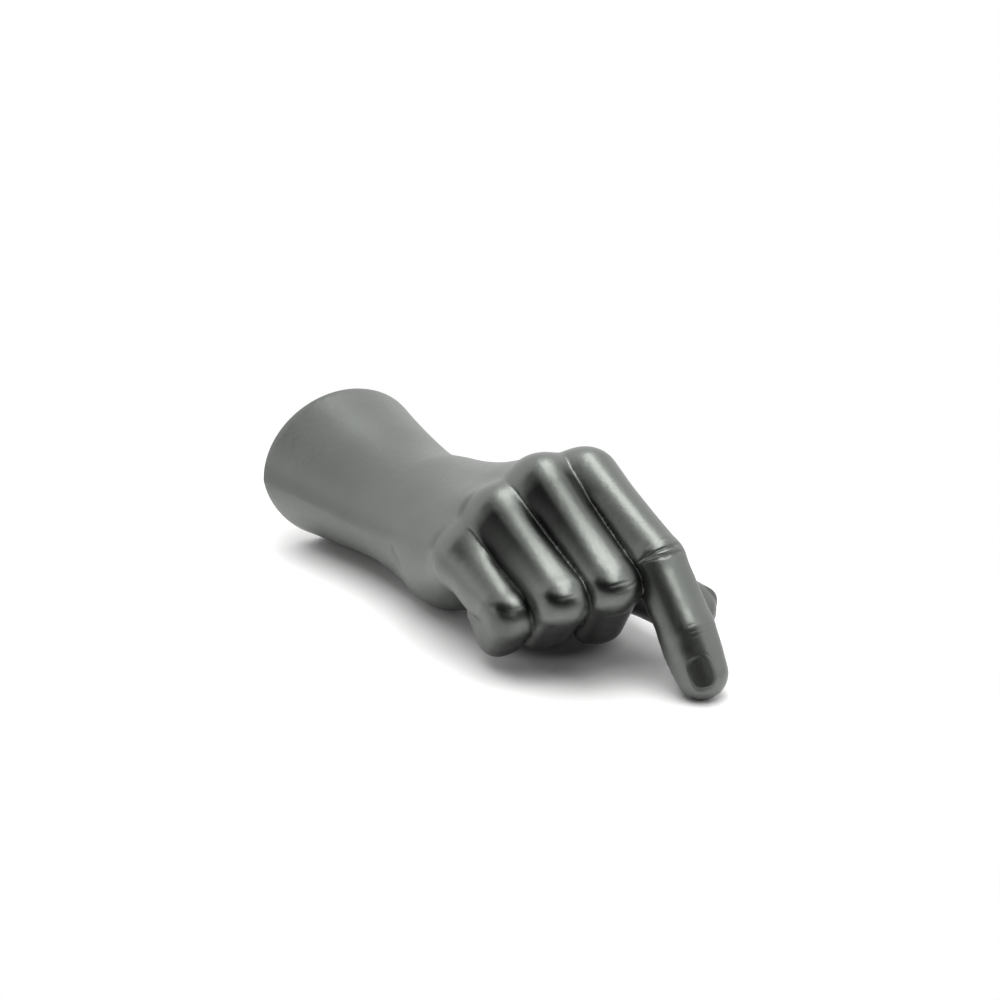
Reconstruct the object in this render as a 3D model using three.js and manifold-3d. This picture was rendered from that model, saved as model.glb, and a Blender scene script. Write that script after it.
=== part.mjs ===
// A life-size pointing hand. It lies palm down: the index finger reaches forward and down to the
// table, the other fingers are curled under, the thumb lies beside them, and the forearm is cut off
// flat behind the wrist. It is a hollow casting with a weight inside and a plug in the cut end.
// Millimetres and degrees. +Z is up, the finger points to -Y, the thumb side is +X, the table is z = 0.
import * as THREE from 'three';
import { mergeVertices } from 'three/addons/utils/BufferGeometryUtils.js';
import Module from 'manifold-3d';

const wasm = await Module();
wasm.setup();

// Forearm: upright oval sections at the cut end, at the wrist and inside the hand, the share by which a
// section narrows to its underside, and how far the forearm reaches into the hand
const FOREARM_LENGTH = 64;
const FOREARM_X = -6;
const FOREARM_FLARE = 1.45;
const FOREARM_EGG = 0.14;
const END_HALF_WIDTH = 37.6;
const END_HALF_HEIGHT = 31.4;
const WRIST_HALF_WIDTH = 28.5;
const WRIST_HALF_HEIGHT = 23.1;
const WRIST_CLEARANCE = 2.8;
const CARPUS_REACH = 30;
const CARPUS_HALF_WIDTH = 25;
const CARPUS_HALF_HEIGHT = 16.5;
const CARPUS_CLEARANCE = 12.5;
const FOREARM_FRONT = 20;

// Hand frame: how the hand is set on the wrist joint, then its own directions
const WRIST_HEIGHT = 26.5;
const HAND_RISE = 21;
const HAND_TILT = 6.5;
const HAND_SWING = 6.2;

// Fingers. A knuckle is placed by its reach, its offset to the thumb side and its lift from the wrist
// joint. Bones run knuckle to tip, bends are at the three joints and widths at the knuckle, the middle
// joint, the end joint and the tip. The index finger's first bend is found, so that its tip lands on
// the table.
const FINGERS = {
  index: {
    root: [14, 12, -1],
    knuckle: [86.4, 20.2, 3.5],
    bones: [46.6, 26.2, 26],
    bends: [null, 28, 9.6],
    spread: 2.4,
    widths: [20.8, 21, 20.4, 19.2],
  },
  middle: {
    root: [12, 3, 1],
    knuckle: [82, 3.5, 5.4],
    bones: [52, 24.5, 22.8],
    bends: [46.9, 104, 80],
    spread: 6.8,
    widths: [22, 20, 19.4, 16.4],
  },
  ring: {
    root: [10, -6, 0],
    knuckle: [76, -14.3, -0.6],
    bones: [47.2, 24, 22.8],
    bends: [42.3, 113.7, 76],
    spread: 5.8,
    widths: [21, 19.2, 18.4, 16],
  },
  little: {
    root: [10, -13, -3],
    knuckle: [68.6, -27.4, -12.2],
    bones: [32.4, 16, 18],
    bends: [41.5, 113.5, 70],
    spread: 4.5,
    widths: [21.4, 18.4, 17, 14.4],
  },
};
const FINGER_FLATNESS = 0.96;
const FINGER_WAIST = 0.3;

// How square a curled finger is at its middle joint: the power of its section, where 2 is round
const CURL_POWER = 2.7;

// Bones of the back of the hand: width at the wrist, how far they stop short of the knuckle, and how much
// thinner than the finger they are there
const METACARPAL_ROOT_WIDTH = 23;
const KNUCKLE_GAP = 6;
const KNUCKLE_STEP = 0.6;

// Soft flesh under a finger. The pad lies under the first bone: its place and length are shares of that
// bone, its width and depth are shares of the knuckle's width. The pulp lies under a straight fingertip:
// its place is a share of the last bone. Both hang by their drop below the bone.
const PAD = { placeShare: 0.42, lengthShare: 0.92, widthShare: 0.93, depthShare: 0.92, drop: 3.5 };
const PULP = { placeShare: 0.25, length: 28, width: 19, depth: 19, drop: 1.4 };

// Thumb: joints from the wrist outwards in the hand's own directions, and the widths there
const THUMB_ROOT = [20, 16, -13];
const THUMB_KNUCKLE = [55, 31, -28];
const THUMB_JOINT = [85, 28.5, -41.5];
const THUMB_END = [106.5, 33.5, -51.3];
const THUMB_WIDTHS = [30, 23, 19.8, 21.6];
const THUMB_FLATNESS = 0.93;

// Fleshy volumes of the hand: middle, then lengths along the hand, across it and through it. The edge is
// the little finger's side
const HEEL = { at: [31, -14.5, -16], size: [58, 30, 30] };
const PALM = { at: [48, 0, -11], size: [68, 60, 26] };
const WEB = { at: [50, 21, -10], size: [52, 24, 20] };
const EDGE = { at: [43, -22.5, -13], size: [54, 25, 22] };
const BACK = { at: [30, -5, -6], size: [64, 50, 29] };

// Skin between two fingers: its places as shares of their first bones, how far it lies below each of the
// four bones, and its thickness between each two
const FINGER_WEBS = { shares: [0.06, 0.28], drops: [2, 3, 3.5, 5], widths: [14, 12.8, 10.8] };

// How softly the volumes run into each other: the width of the fillet between them
const BLEND_WRIST = 16;
const BLEND_BACK = 13;
const BLEND_PALM = 10;
const BLEND_FINGER_ROOT = 8;
const BLEND_THUMB_ROOT = 8;
const BLEND_WEB = 5;
const BLEND_PAD = 3;
const BLEND_JOINT = 1.2;
const BLEND_TOUCH = 3;

// Casting: wall round the hollow, and the hollow's reach into the palm
const WALL = 7;
const CORE_REACH = 50;
const CORE_TIP_WIDTH = 26;
const CORE_TIP_HEIGHT = 11;
const CORE_DEPTH = 9;

// Plug, weight, stiffening rod and felt pads, with the gap kept round each of them
const PLUG_RIM = 4;
const PLUG_THICKNESS = 6;
const PLUG_CHAMFER = 0.8;
const FILL_FRONT = 2;
const ROD_DIAMETER = 3;
const ROD_TAIL = 10;
const ROD_TIP_MARGIN = 7;
const PAD_THICKNESS = 0.9;
const PAD_MARGIN = 0.4;
const FOREARM_PAD_LENGTH = 18;
const FOREARM_PAD_WIDTH = 12;
const FOREARM_PAD_INSET = 3;
const HEEL_PAD_LENGTH = 14;
const HEEL_PAD_WIDTH = 9;
const CLEARANCE = 0.3;
const FILL_CLEARANCE = 0.6;

// Flat spots: how far the round undersides would reach below the table
const FOREARM_SINK = 0.8;
const HEEL_SINK = 0.6;
const FINGERTIP_SINK = 0.3;

// Facets: cell size over the fingers and along the forearm, the spare length that is cut off the
// forearm's end, and the sides and steps of the round pieces
const CELL = 3.4;
const FOREARM_CELL = 7;
const CELL_GROWTH = 1.15;
const OFFCUT = 2 * FOREARM_CELL;
const LOFT_SIDES = 32;
const CORE_STEPS = 12;
const CORE_END_TURNS = [30, 55, 75];
const FILL_STEPS = 8;
const ROD_SIDES = 10;
const ROD_STEPS = 30;
const RELAX_ROUNDS = 3;
const SETTLE_ROUNDS = 2;
const PROBE = 0.02;
const LEAST_STEEPNESS = 0.1;
const MERGE_GAP = 1e-4;

const TINY = 1e-9;
const radians = THREE.MathUtils.degToRad;
const { clamp, lerp, smoothstep } = THREE.MathUtils;

// Hand frame: forward runs from the wrist to the knuckles, side to the thumb, back out of the hand's back
const handTurn = new THREE.Matrix4()
  .makeRotationZ(radians(-HAND_SWING))
  .multiply(new THREE.Matrix4().makeRotationX(radians(-HAND_RISE)))
  .multiply(new THREE.Matrix4().makeRotationY(radians(-HAND_TILT)));
const forward = new THREE.Vector3(0, -1, 0).transformDirection(handTurn);
const side = new THREE.Vector3(1, 0, 0).transformDirection(handTurn);
const back = new THREE.Vector3(0, 0, 1).transformDirection(handTurn);
const wrist = new THREE.Vector3(0, 0, WRIST_HEIGHT);

function inHand([reach, across, lift]) {
  return wrist.clone()
    .addScaledVector(forward, reach)
    .addScaledVector(side, across)
    .addScaledVector(back, lift);
}

// One finger's joints: each bone turns further from the hand's plane by the bend of its joint
function fingerSkeleton({ knuckle, bones, bends, spread, widths }) {
  const out = forward.clone().applyAxisAngle(back, radians(-spread));
  const across = side.clone().applyAxisAngle(back, radians(-spread));
  const joints = [inHand(knuckle)];
  const along = [];
  const outer = [];
  let bend = 0;
  bones.forEach((bone, i) => {
    bend += radians(bends[i]);
    along.push(out.clone().multiplyScalar(Math.cos(bend)).addScaledVector(back, -Math.sin(bend)));
    outer.push(back.clone().multiplyScalar(Math.cos(bend)).addScaledVector(out, Math.sin(bend)));
    joints.push(joints[i].clone().addScaledVector(along[i], bone));
  });
  const radii = widths.map((width) => width / 2);
  const tip = joints[3].clone().addScaledVector(along[2], -radii[3]);
  return { joints, along, outer, across, radii, bones, tip };
}

// The bend that brings a finger's tip down to the table, by halving the interval that holds it
function bendToTable(finger) {
  let [low, high] = [0, 90];
  while (high - low > TINY) {
    const bend = (low + high) / 2;
    const { tip, radii } = fingerSkeleton({ ...finger, bends: [bend, ...finger.bends.slice(1)] });
    if (tip.z - radii[3] > -FINGERTIP_SINK) low = bend;
    else high = bend;
  }
  return low;
}

FINGERS.index.bends[0] = bendToTable(FINGERS.index);
const skeleton = Object.fromEntries(
  Object.entries(FINGERS).map(([name, finger]) => [name, fingerSkeleton(finger)]),
);
const thumbJoints = [THUMB_ROOT, THUMB_KNUCKLE, THUMB_JOINT, THUMB_END].map(inHand);
const thumbRadii = THUMB_WIDTHS.map((width) => width / 2);

// Distances: negative inside, zero on the surface, positive outside

// Two volumes run together with a fillet of the given width
function blend(a, b, width) {
  const overlap = Math.max(width - Math.abs(a - b), 0) / width;
  return Math.min(a, b) - overlap * overlap * width / 4;
}

// A capsule from a to b whose radius changes evenly, drawn in by waist halfway along and flattened
// square to the lateral direction. Its section is round for the power 2 and squarer above it, and the
// power runs from its first value to its second
function limb(a, b, radiusA, radiusB, lateral, flatness = 1, waist = 0, powers = [2, 2]) {
  const axis = b.clone().sub(a);
  const length = axis.length();
  axis.divideScalar(length);
  const through = lateral.clone().cross(axis).normalize();
  const across = axis.clone().cross(through);
  const q = new THREE.Vector3();
  return (p) => {
    q.copy(p).sub(a);
    const t = clamp(q.dot(axis) / length, 0, 1);
    const beyond = q.dot(axis) - t * length;
    const u = Math.abs(q.dot(across));
    const w = Math.abs(q.dot(through)) / flatness;
    const power = lerp(powers[0], powers[1], t * t);
    const section = (u ** power + w ** power + TINY) ** (1 / power);
    const whole = Math.hypot(section, beyond);
    const steep = Math.hypot((u / section) ** (power - 1), (w / section) ** (power - 1) / flatness);
    const slope = Math.hypot(section * steep, beyond) / whole;
    const radius = lerp(radiusA, radiusB, t) - waist * 4 * t * (1 - t);
    return (whole - radius) / Math.max(slope, TINY);
  };
}

// An egg-shaped volume with its middle, its three directions and its three full lengths
function ellipsoid(middle, directions, size) {
  const half = size.map((length) => length / 2);
  const q = new THREE.Vector3();
  return (p) => {
    q.copy(p).sub(middle);
    const parts = directions.map((direction, i) => q.dot(direction) / half[i]);
    const scaled = Math.hypot(...parts, TINY);
    const slope = Math.hypot(...parts.map((part, i) => part / half[i]), TINY);
    return scaled * (scaled - 1) / slope;
  };
}

// How far an egg-shaped volume reaches below its middle, and where that lowest point lies
function lowestPoint(middle, directions, size) {
  const pulls = directions.map((direction, i) => direction.z * size[i] / 2);
  const drop = Math.hypot(...pulls);
  const point = middle.clone();
  directions.forEach((direction, i) => point.addScaledVector(direction, -pulls[i] * size[i] / 2 / drop));
  return point;
}

// The forearm's section at a place along it: middle and half axes
function forearmSection(y) {
  const section = (clear, halfWidth, halfHeight) => ({ z: clear + halfHeight, halfWidth, halfHeight });
  const end = section(-FOREARM_SINK, END_HALF_WIDTH, END_HALF_HEIGHT);
  const neck = section(WRIST_CLEARANCE, WRIST_HALF_WIDTH, WRIST_HALF_HEIGHT);
  const carpus = section(CARPUS_CLEARANCE, CARPUS_HALF_WIDTH, CARPUS_HALF_HEIGHT);
  const other = y > 0 ? end : carpus;
  const share = y > 0 ? (y / FOREARM_LENGTH) ** FOREARM_FLARE : smoothstep(-y, 0, CARPUS_REACH);
  return {
    z: lerp(neck.z, other.z, share),
    halfWidth: lerp(neck.halfWidth, other.halfWidth, share),
    halfHeight: lerp(neck.halfHeight, other.halfHeight, share),
  };
}

function forearm(p) {
  const { z, halfWidth, halfHeight } = forearmSection(p.y);
  const h = (p.z - z) / halfHeight;
  const eggWidth = halfWidth * (1 + FOREARM_EGG * clamp(h, -1, 0));
  const x = (p.x - FOREARM_X) / eggWidth;
  const scaled = Math.hypot(x, h, TINY);
  const tube = scaled * (scaled - 1) / Math.hypot(x / eggWidth, h / halfHeight, TINY);
  const front = -p.y - FOREARM_FRONT;
  const rear = p.y - FOREARM_LENGTH - OFFCUT;
  return -blend(-Math.max(tube, rear), -front, BLEND_PALM);
}

// The heel of the hand is lowered or raised until it rests on the table
const handDirections = [forward, side, back];
const heelMiddle = inHand(HEEL.at);
heelMiddle.z -= lowestPoint(heelMiddle, handDirections, HEEL.size).z + HEEL_SINK;
const heelRest = lowestPoint(heelMiddle, handDirections, HEEL.size);

const flesh = [
  ellipsoid(heelMiddle, handDirections, HEEL.size),
  ...[PALM, WEB, EDGE, BACK].map(({ at, size }) => ellipsoid(inHand(at), handDirections, size)),
];
const metacarpals = Object.values(FINGERS).map(({ root, knuckle, widths }) => {
  const end = inHand(knuckle).addScaledVector(forward, -KNUCKLE_GAP);
  return limb(inHand(root), end, METACARPAL_ROOT_WIDTH / 2, widths[0] / 2 - KNUCKLE_STEP, side);
});
const fingerWebs = FINGER_WEBS.shares.flatMap((share) => {
  const ends = Object.values(skeleton).map(({ joints, outer }, i) =>
    joints[0].clone().lerp(joints[1], share).addScaledVector(outer[0], -FINGER_WEBS.drops[i]));
  return FINGER_WEBS.widths.map((width, i) => limb(ends[i], ends[i + 1], width / 2, width / 2, forward));
});

// A finger: three bones, and the soft pads under the first bone and, on a straight finger, the tip
function fingerVolumes({ joints, along, outer, across, radii, bones, tip }, straight) {
  const power = straight ? 2 : CURL_POWER;
  const segment = (i, end, waist, powers) =>
    limb(joints[i], end, radii[i], radii[i + 1], across, FINGER_FLATNESS, waist, powers);
  const first = segment(0, joints[1], FINGER_WAIST, [2, power]);
  const second = segment(1, joints[2], 0, [power, power]);
  const third = segment(2, tip, 0, [power, 2]);
  const padMiddle = joints[0].clone()
    .addScaledVector(along[0], bones[0] * PAD.placeShare)
    .addScaledVector(outer[0], -PAD.drop);
  const knuckleWidth = 2 * radii[0];
  const padSize = [
    bones[0] * PAD.lengthShare,
    knuckleWidth * PAD.widthShare,
    knuckleWidth * PAD.depthShare,
  ];
  const pad = ellipsoid(padMiddle, [along[0], across, outer[0]], padSize);
  const pulpMiddle = joints[2].clone()
    .addScaledVector(along[2], bones[2] * PULP.placeShare)
    .addScaledVector(outer[2], -PULP.drop);
  const pulpSize = [PULP.length, PULP.width, PULP.depth];
  const pulp = ellipsoid(pulpMiddle, [along[2], across, outer[2]], pulpSize);
  const base = (p) => blend(first(p), pad(p), BLEND_PAD);
  const end = straight ? (p) => blend(third(p), pulp(p), BLEND_PAD) : third;
  const rest = (p) => blend(second(p), end(p), BLEND_JOINT);
  return { base, whole: (baseDistance, p) => blend(baseDistance, rest(p), BLEND_JOINT) };
}
const fingers = Object.entries(skeleton).map(([name, bones]) => fingerVolumes(bones, name === 'index'));

const thumbSegment = (i, flatness) =>
  limb(thumbJoints[i], thumbJoints[i + 1], thumbRadii[i], thumbRadii[i + 1], back, flatness);
const thenar = thumbSegment(0, 1);
const thumbFirst = thumbSegment(1, THUMB_FLATNESS);
const thumbSecond = thumbSegment(2, THUMB_FLATNESS);

// The whole hand: the back and palm are one soft body, the fingers grow out of it and only touch
function hand(p) {
  let body = metacarpals.map((bone) => bone(p)).reduce((a, b) => blend(a, b, BLEND_BACK));
  body = blend(forearm(p), body, BLEND_WRIST);
  for (const volume of [...flesh, thenar]) body = blend(body, volume(p), BLEND_PALM);
  for (const web of fingerWebs) body = blend(body, web(p), BLEND_WEB);
  const bases = fingers.map((finger) => finger.base(p));
  const thumbBase = thumbFirst(p);
  let all = blend(body, Math.min(...bases), BLEND_FINGER_ROOT);
  all = blend(all, thumbBase, BLEND_THUMB_ROOT);
  fingers.forEach((finger, i) => {
    all = blend(all, finger.whole(bases[i], p), BLEND_TOUCH);
  });
  return blend(all, blend(thumbBase, thumbSecond(p), BLEND_JOINT), BLEND_TOUCH);
}

// Evenly spaced grid lines that widen from one cell size to another past a given place
function gridLines(from, to, cell, wideFrom = Infinity, wideCell = cell) {
  const lines = [from];
  let step = cell;
  while (lines.at(-1) < to) {
    if (lines.at(-1) > wideFrom) step = Math.min(step * CELL_GROWTH, wideCell);
    lines.push(lines.at(-1) + step);
  }
  return lines;
}

// The corners, edges and faces of a grid cell. A corner is three bits, one for each axis; an edge is its
// first corner and its axis; a face is its four edges in turn and the corner between each and the next
const CELL_EDGES = [];
const edgeAt = (first, axis) => CELL_EDGES.findIndex((e) => e.first === first && e.axis === axis);
for (let first = 0; first < 8; first += 1) {
  for (let axis = 0; axis < 3; axis += 1) {
    if (!(first >> axis & 1)) CELL_EDGES.push({ first, last: first | 1 << axis, axis });
  }
}
const CELL_FACES = [];
for (let axis = 0; axis < 3; axis += 1) {
  const [u, v] = [(axis + 1) % 3, (axis + 2) % 3];
  for (const near of [0, 1 << axis]) {
    CELL_FACES.push({
      edges: [edgeAt(near, u), edgeAt(near | 1 << u, v), edgeAt(near | 1 << v, u), edgeAt(near, v)],
      corners: [near | 1 << u, near | 1 << u | 1 << v, near | 1 << v, near],
    });
  }
}

// Which sheet of the surface each crossed edge of a cell belongs to. Two crossed edges of one face are on
// one sheet; where all four are crossed, the two round each inside corner are
function sheetsOfCell(values) {
  const inside = values.map((value) => value < 0);
  const sheet = CELL_EDGES.map(({ first, last }, i) => (inside[first] === inside[last] ? -1 : i));
  const join = (a, b) => {
    const [from, to] = [sheet[a], sheet[b]];
    sheet.forEach((label, i) => {
      if (label === from) sheet[i] = to;
    });
  };
  for (const { edges, corners } of CELL_FACES) {
    const crossed = edges.filter((edge) => sheet[edge] >= 0);
    if (crossed.length === 2) join(...crossed);
    if (crossed.length < 4) continue;
    corners.forEach((corner, i) => {
      if (inside[corner]) join(edges[i], edges[(i + 1) % 4]);
    });
  }
  return sheet;
}

// A closed mesh of the zero surface: a grid cell holds one vertex for each sheet of the surface that
// crosses it, and the four cells round each crossed grid edge are joined by a face
function surfaceOf(distance, axes) {
  const counts = axes.map((lines) => lines.length);
  const strides = [counts[1] * counts[2], counts[2], 1];
  const eachPlace = (from, less, visit) => {
    for (let i = from; i < counts[0] - less; i += 1) {
      for (let j = from; j < counts[1] - less; j += 1) {
        for (let k = from; k < counts[2] - less; k += 1) {
          visit([i, j, k], i * strides[0] + j * strides[1] + k);
        }
      }
    }
  };
  const values = new Float64Array(counts[0] * strides[0]);
  const p = new THREE.Vector3();
  eachPlace(0, 0, (place, at) => {
    values[at] = distance(p.fromArray(place.map((index, axis) => axes[axis][index])));
  });
  const step = (bits) => strides.reduce((sum, stride, axis) => sum + (bits >> axis & 1) * stride, 0);
  const cornerSteps = Array.from({ length: 8 }, (_, bits) => step(bits));
  const vertices = [];
  const vertexOfEdge = new Map();
  eachPlace(0, 1, (cell, at) => {
    const corners = cornerSteps.map((offset) => values[at + offset]);
    const inside = corners.filter((value) => value < 0).length;
    if (inside === 0 || inside === 8) return;
    const sheet = sheetsOfCell(corners);
    const places = new Map();
    sheet.forEach((label, i) => {
      if (label < 0) return;
      const { first, last, axis } = CELL_EDGES[i];
      const share = corners[first] / (corners[first] - corners[last]);
      const inCell = [0, 1, 2].map((c) => (c === axis ? share : first >> c & 1));
      const here = inCell.map((t, c) => lerp(axes[c][cell[c]], axes[c][cell[c] + 1], t));
      if (!places.has(label)) places.set(label, []);
      places.get(label).push(new THREE.Vector3(...here));
    });
    const vertexOf = new Map();
    for (const [label, points] of places) {
      const sum = points.reduce((total, point) => total.add(point), new THREE.Vector3());
      vertexOf.set(label, vertices.push(sum.divideScalar(points.length)) - 1);
    }
    vertexOfEdge.set(at, sheet.map((label) => vertexOf.get(label)));
  });
  const triangles = [];
  eachPlace(1, 1, (place, at) => {
    for (let axis = 0; axis < 3; axis += 1) {
      if ((values[at] < 0) === (values[at + strides[axis]] < 0)) continue;
      const [u, v] = [1 << (axis + 1) % 3, 1 << (axis + 2) % 3];
      const quad = [u | v, v, 0, u].map((bits) =>
        vertexOfEdge.get(at - cornerSteps[bits])[edgeAt(bits, axis)]);
      if (values[at] > 0) quad.reverse();
      triangles.push(...splitQuad(quad, vertices));
    }
  });
  const shell = largestShell(triangles, vertices.length);
  vertices.forEach((vertex) => settle(distance, vertex));
  for (let round = 0; round < RELAX_ROUNDS; round += 1) relax(distance, vertices, shell);
  return meshFrom(vertices, shell);
}

// Slides a vertex along the slope of the distance until it lies on the surface
function settle(distance, vertex) {
  const probe = new THREE.Vector3();
  for (let round = 0; round < SETTLE_ROUNDS; round += 1) {
    const here = distance(vertex);
    const slope = ['x', 'y', 'z'].map((axis) => {
      probe.copy(vertex)[axis] += PROBE;
      return (distance(probe) - here) / PROBE;
    });
    const steepness = slope[0] ** 2 + slope[1] ** 2 + slope[2] ** 2;
    const move = clamp(-here / Math.max(steepness, LEAST_STEEPNESS), -CELL / 3, CELL / 3);
    vertex.add(probe.fromArray(slope).multiplyScalar(move));
  }
}

// The triangles of the largest connected shell: closed air bubbles, as between a fingertip and the palm,
// are filled by leaving their walls out
function largestShell(triangles, vertexCount) {
  const root = Int32Array.from({ length: vertexCount }, (_, i) => i);
  const find = (i) => {
    let top = i;
    while (root[top] !== top) top = root[top];
    root[i] = top;
    return top;
  };
  for (let i = 0; i < triangles.length; i += 3) {
    root[find(triangles[i + 1])] = find(triangles[i]);
    root[find(triangles[i + 2])] = find(triangles[i]);
  }
  const sizes = new Map();
  for (const corner of triangles) sizes.set(find(corner), (sizes.get(find(corner)) ?? 0) + 1);
  const [largest] = [...sizes].reduce((best, shell) => (shell[1] > best[1] ? shell : best));
  return triangles.filter((corner) => find(corner) === largest);
}

// Evens the mesh out: each vertex moves to the mean of its neighbours, then back onto the surface
function relax(distance, vertices, triangles) {
  const sums = vertices.map(() => new THREE.Vector3());
  const counts = new Uint16Array(vertices.length);
  for (let i = 0; i < triangles.length; i += 3) {
    const corners = triangles.slice(i, i + 3);
    corners.forEach((corner, turn) => {
      sums[corner].add(vertices[corners[(turn + 1) % 3]]).add(vertices[corners[(turn + 2) % 3]]);
      counts[corner] += 2;
    });
  }
  vertices.forEach((vertex, i) => {
    if (!counts[i]) return;
    vertex.copy(sums[i]).divideScalar(counts[i]);
    settle(distance, vertex);
  });
}

// Two triangles from four corners, split along the shorter diagonal
function splitQuad([a, b, c, d], vertices) {
  const alongAC = vertices[a].distanceToSquared(vertices[c]);
  const alongBD = vertices[b].distanceToSquared(vertices[d]);
  return alongAC <= alongBD ? [a, b, c, a, c, d] : [a, b, d, b, c, d];
}

function meshFrom(vertices, triangles) {
  const geometry = new THREE.BufferGeometry().setFromPoints(vertices);
  geometry.setIndex(triangles);
  return geometry;
}

// Closed loft through upright elliptical rings, each with a middle, a half width and a half height
function loft(rings) {
  const vertices = [];
  for (const { middle, halfWidth, halfHeight } of rings) {
    for (let i = 0; i < LOFT_SIDES; i += 1) {
      const angle = 2 * Math.PI * i / LOFT_SIDES;
      const x = middle.x + halfWidth * Math.cos(angle);
      const z = middle.z + halfHeight * Math.sin(angle);
      vertices.push(new THREE.Vector3(x, middle.y, z));
    }
  }
  const triangles = [];
  const firstMiddle = vertices.push(rings[0].middle.clone()) - 1;
  const lastMiddle = vertices.push(rings.at(-1).middle.clone()) - 1;
  const lastRing = (rings.length - 1) * LOFT_SIDES;
  for (let i = 0; i < LOFT_SIDES; i += 1) {
    const next = (i + 1) % LOFT_SIDES;
    for (let ring = 0; ring < lastRing; ring += LOFT_SIDES) {
      const [a, b] = [ring + i, ring + next];
      triangles.push(a, b, b + LOFT_SIDES, a, b + LOFT_SIDES, a + LOFT_SIDES);
    }
    triangles.push(firstMiddle, next, i, lastMiddle, lastRing + i, lastRing + next);
  }
  return meshFrom(vertices, triangles);
}

// The hollow's section: the forearm's section less the wall, drawn together towards the palm
const coreTip = inHand([CORE_REACH, 0, -CORE_DEPTH]);
function coreRing(y, gap = 0) {
  const { z, halfWidth, halfHeight } = forearmSection(Math.max(y, 0));
  const share = clamp(y / coreTip.y, 0, 1);
  const inset = WALL + gap;
  return {
    middle: new THREE.Vector3(lerp(FOREARM_X, coreTip.x, share), y, lerp(z, coreTip.z, share)),
    halfWidth: lerp(halfWidth - inset, CORE_TIP_WIDTH / 2 - gap, share),
    halfHeight: lerp(halfHeight - inset, CORE_TIP_HEIGHT / 2 - gap, share),
  };
}

function hollowCore() {
  const rings = [];
  for (let i = 0; i <= CORE_STEPS; i += 1) {
    rings.push(coreRing(lerp(FOREARM_LENGTH + CLEARANCE, coreTip.y, i / CORE_STEPS)));
  }
  const tip = rings.at(-1);
  for (const turn of CORE_END_TURNS) {
    const shrink = Math.cos(radians(turn));
    const middle = tip.middle.clone();
    middle.y -= tip.halfHeight * Math.sin(radians(turn));
    rings.push({ middle, halfWidth: tip.halfWidth * shrink, halfHeight: tip.halfHeight * shrink });
  }
  return loft(rings);
}

// An upright or lying elliptical disc: half axes in its plane, and its thickness
function disc(halfA, halfB, thickness, chamfer = 0) {
  const outline = new THREE.Shape().absellipse(0, 0, halfA, halfB, 0, 2 * Math.PI);
  return new THREE.ExtrudeGeometry(outline, {
    depth: thickness - 2 * chamfer,
    curveSegments: LOFT_SIDES / 2,
    bevelEnabled: chamfer > 0,
    bevelThickness: chamfer,
    bevelSize: chamfer,
    bevelOffset: -chamfer,
    bevelSegments: 1,
  }).translate(0, 0, chamfer);
}

const plugInner = FOREARM_LENGTH - PLUG_THICKNESS;
function endDisc(gap, thickness, chamfer) {
  const { z, halfWidth, halfHeight } = forearmSection(FOREARM_LENGTH);
  const inset = PLUG_RIM + gap;
  return disc(halfWidth - inset, halfHeight - inset, thickness, chamfer)
    .rotateX(Math.PI / 2)
    .translate(FOREARM_X, plugInner + thickness, z);
}

const forearmPadPlace = new THREE.Vector3(
  FOREARM_X,
  FOREARM_LENGTH - FOREARM_PAD_INSET - FOREARM_PAD_LENGTH / 2,
  0,
);
const heelPadPlace = new THREE.Vector3(heelRest.x, heelRest.y, 0);
const pads = {
  forearm_pad: { place: forearmPadPlace, width: FOREARM_PAD_WIDTH, length: FOREARM_PAD_LENGTH },
  heel_pad: { place: heelPadPlace, width: HEEL_PAD_WIDTH, length: HEEL_PAD_LENGTH },
};
function padDisc({ place, width, length }, margin = 0, gap = 0) {
  return disc(width / 2 + margin, length / 2 + margin, margin + PAD_THICKNESS + gap)
    .translate(place.x, place.y, place.z - margin);
}

// The rod runs from the hollow through the index knuckle and its middle joint, short of the end joint
function rodAlongFinger(diameter, tipMargin) {
  const { joints, along } = skeleton.index;
  const tail = coreTip.clone().addScaledVector(coreTip.clone().sub(joints[0]).normalize(), ROD_TAIL);
  const tip = joints[2].clone().addScaledVector(along[1], -tipMargin);
  const path = new THREE.CatmullRomCurve3([tail, joints[0], joints[1], tip], false, 'centripetal');
  const outline = new THREE.Shape().absarc(0, 0, diameter / 2, 0, 2 * Math.PI);
  return new THREE.ExtrudeGeometry(outline, {
    steps: ROD_STEPS,
    extrudePath: path,
    curveSegments: ROD_SIDES / 2,
    bevelEnabled: false,
  });
}

// Joining and cutting of closed meshes
function solid(geometry) {
  const bare = geometry.clone();
  bare.deleteAttribute('normal');
  bare.deleteAttribute('uv');
  const merged = mergeVertices(bare, MERGE_GAP);
  return new wasm.Manifold(new wasm.Mesh({
    numProp: 3,
    vertProperties: new Float32Array(merged.attributes.position.array),
    triVerts: new Uint32Array(merged.index.array),
  }));
}

function geometryOf(body) {
  const { vertProperties, triVerts } = body.getMesh();
  const geometry = new THREE.BufferGeometry();
  geometry.setAttribute('position', new THREE.BufferAttribute(vertProperties, 3));
  geometry.setIndex(new THREE.BufferAttribute(triVerts, 1));
  geometry.computeVertexNormals();
  return geometry;
}

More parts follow.
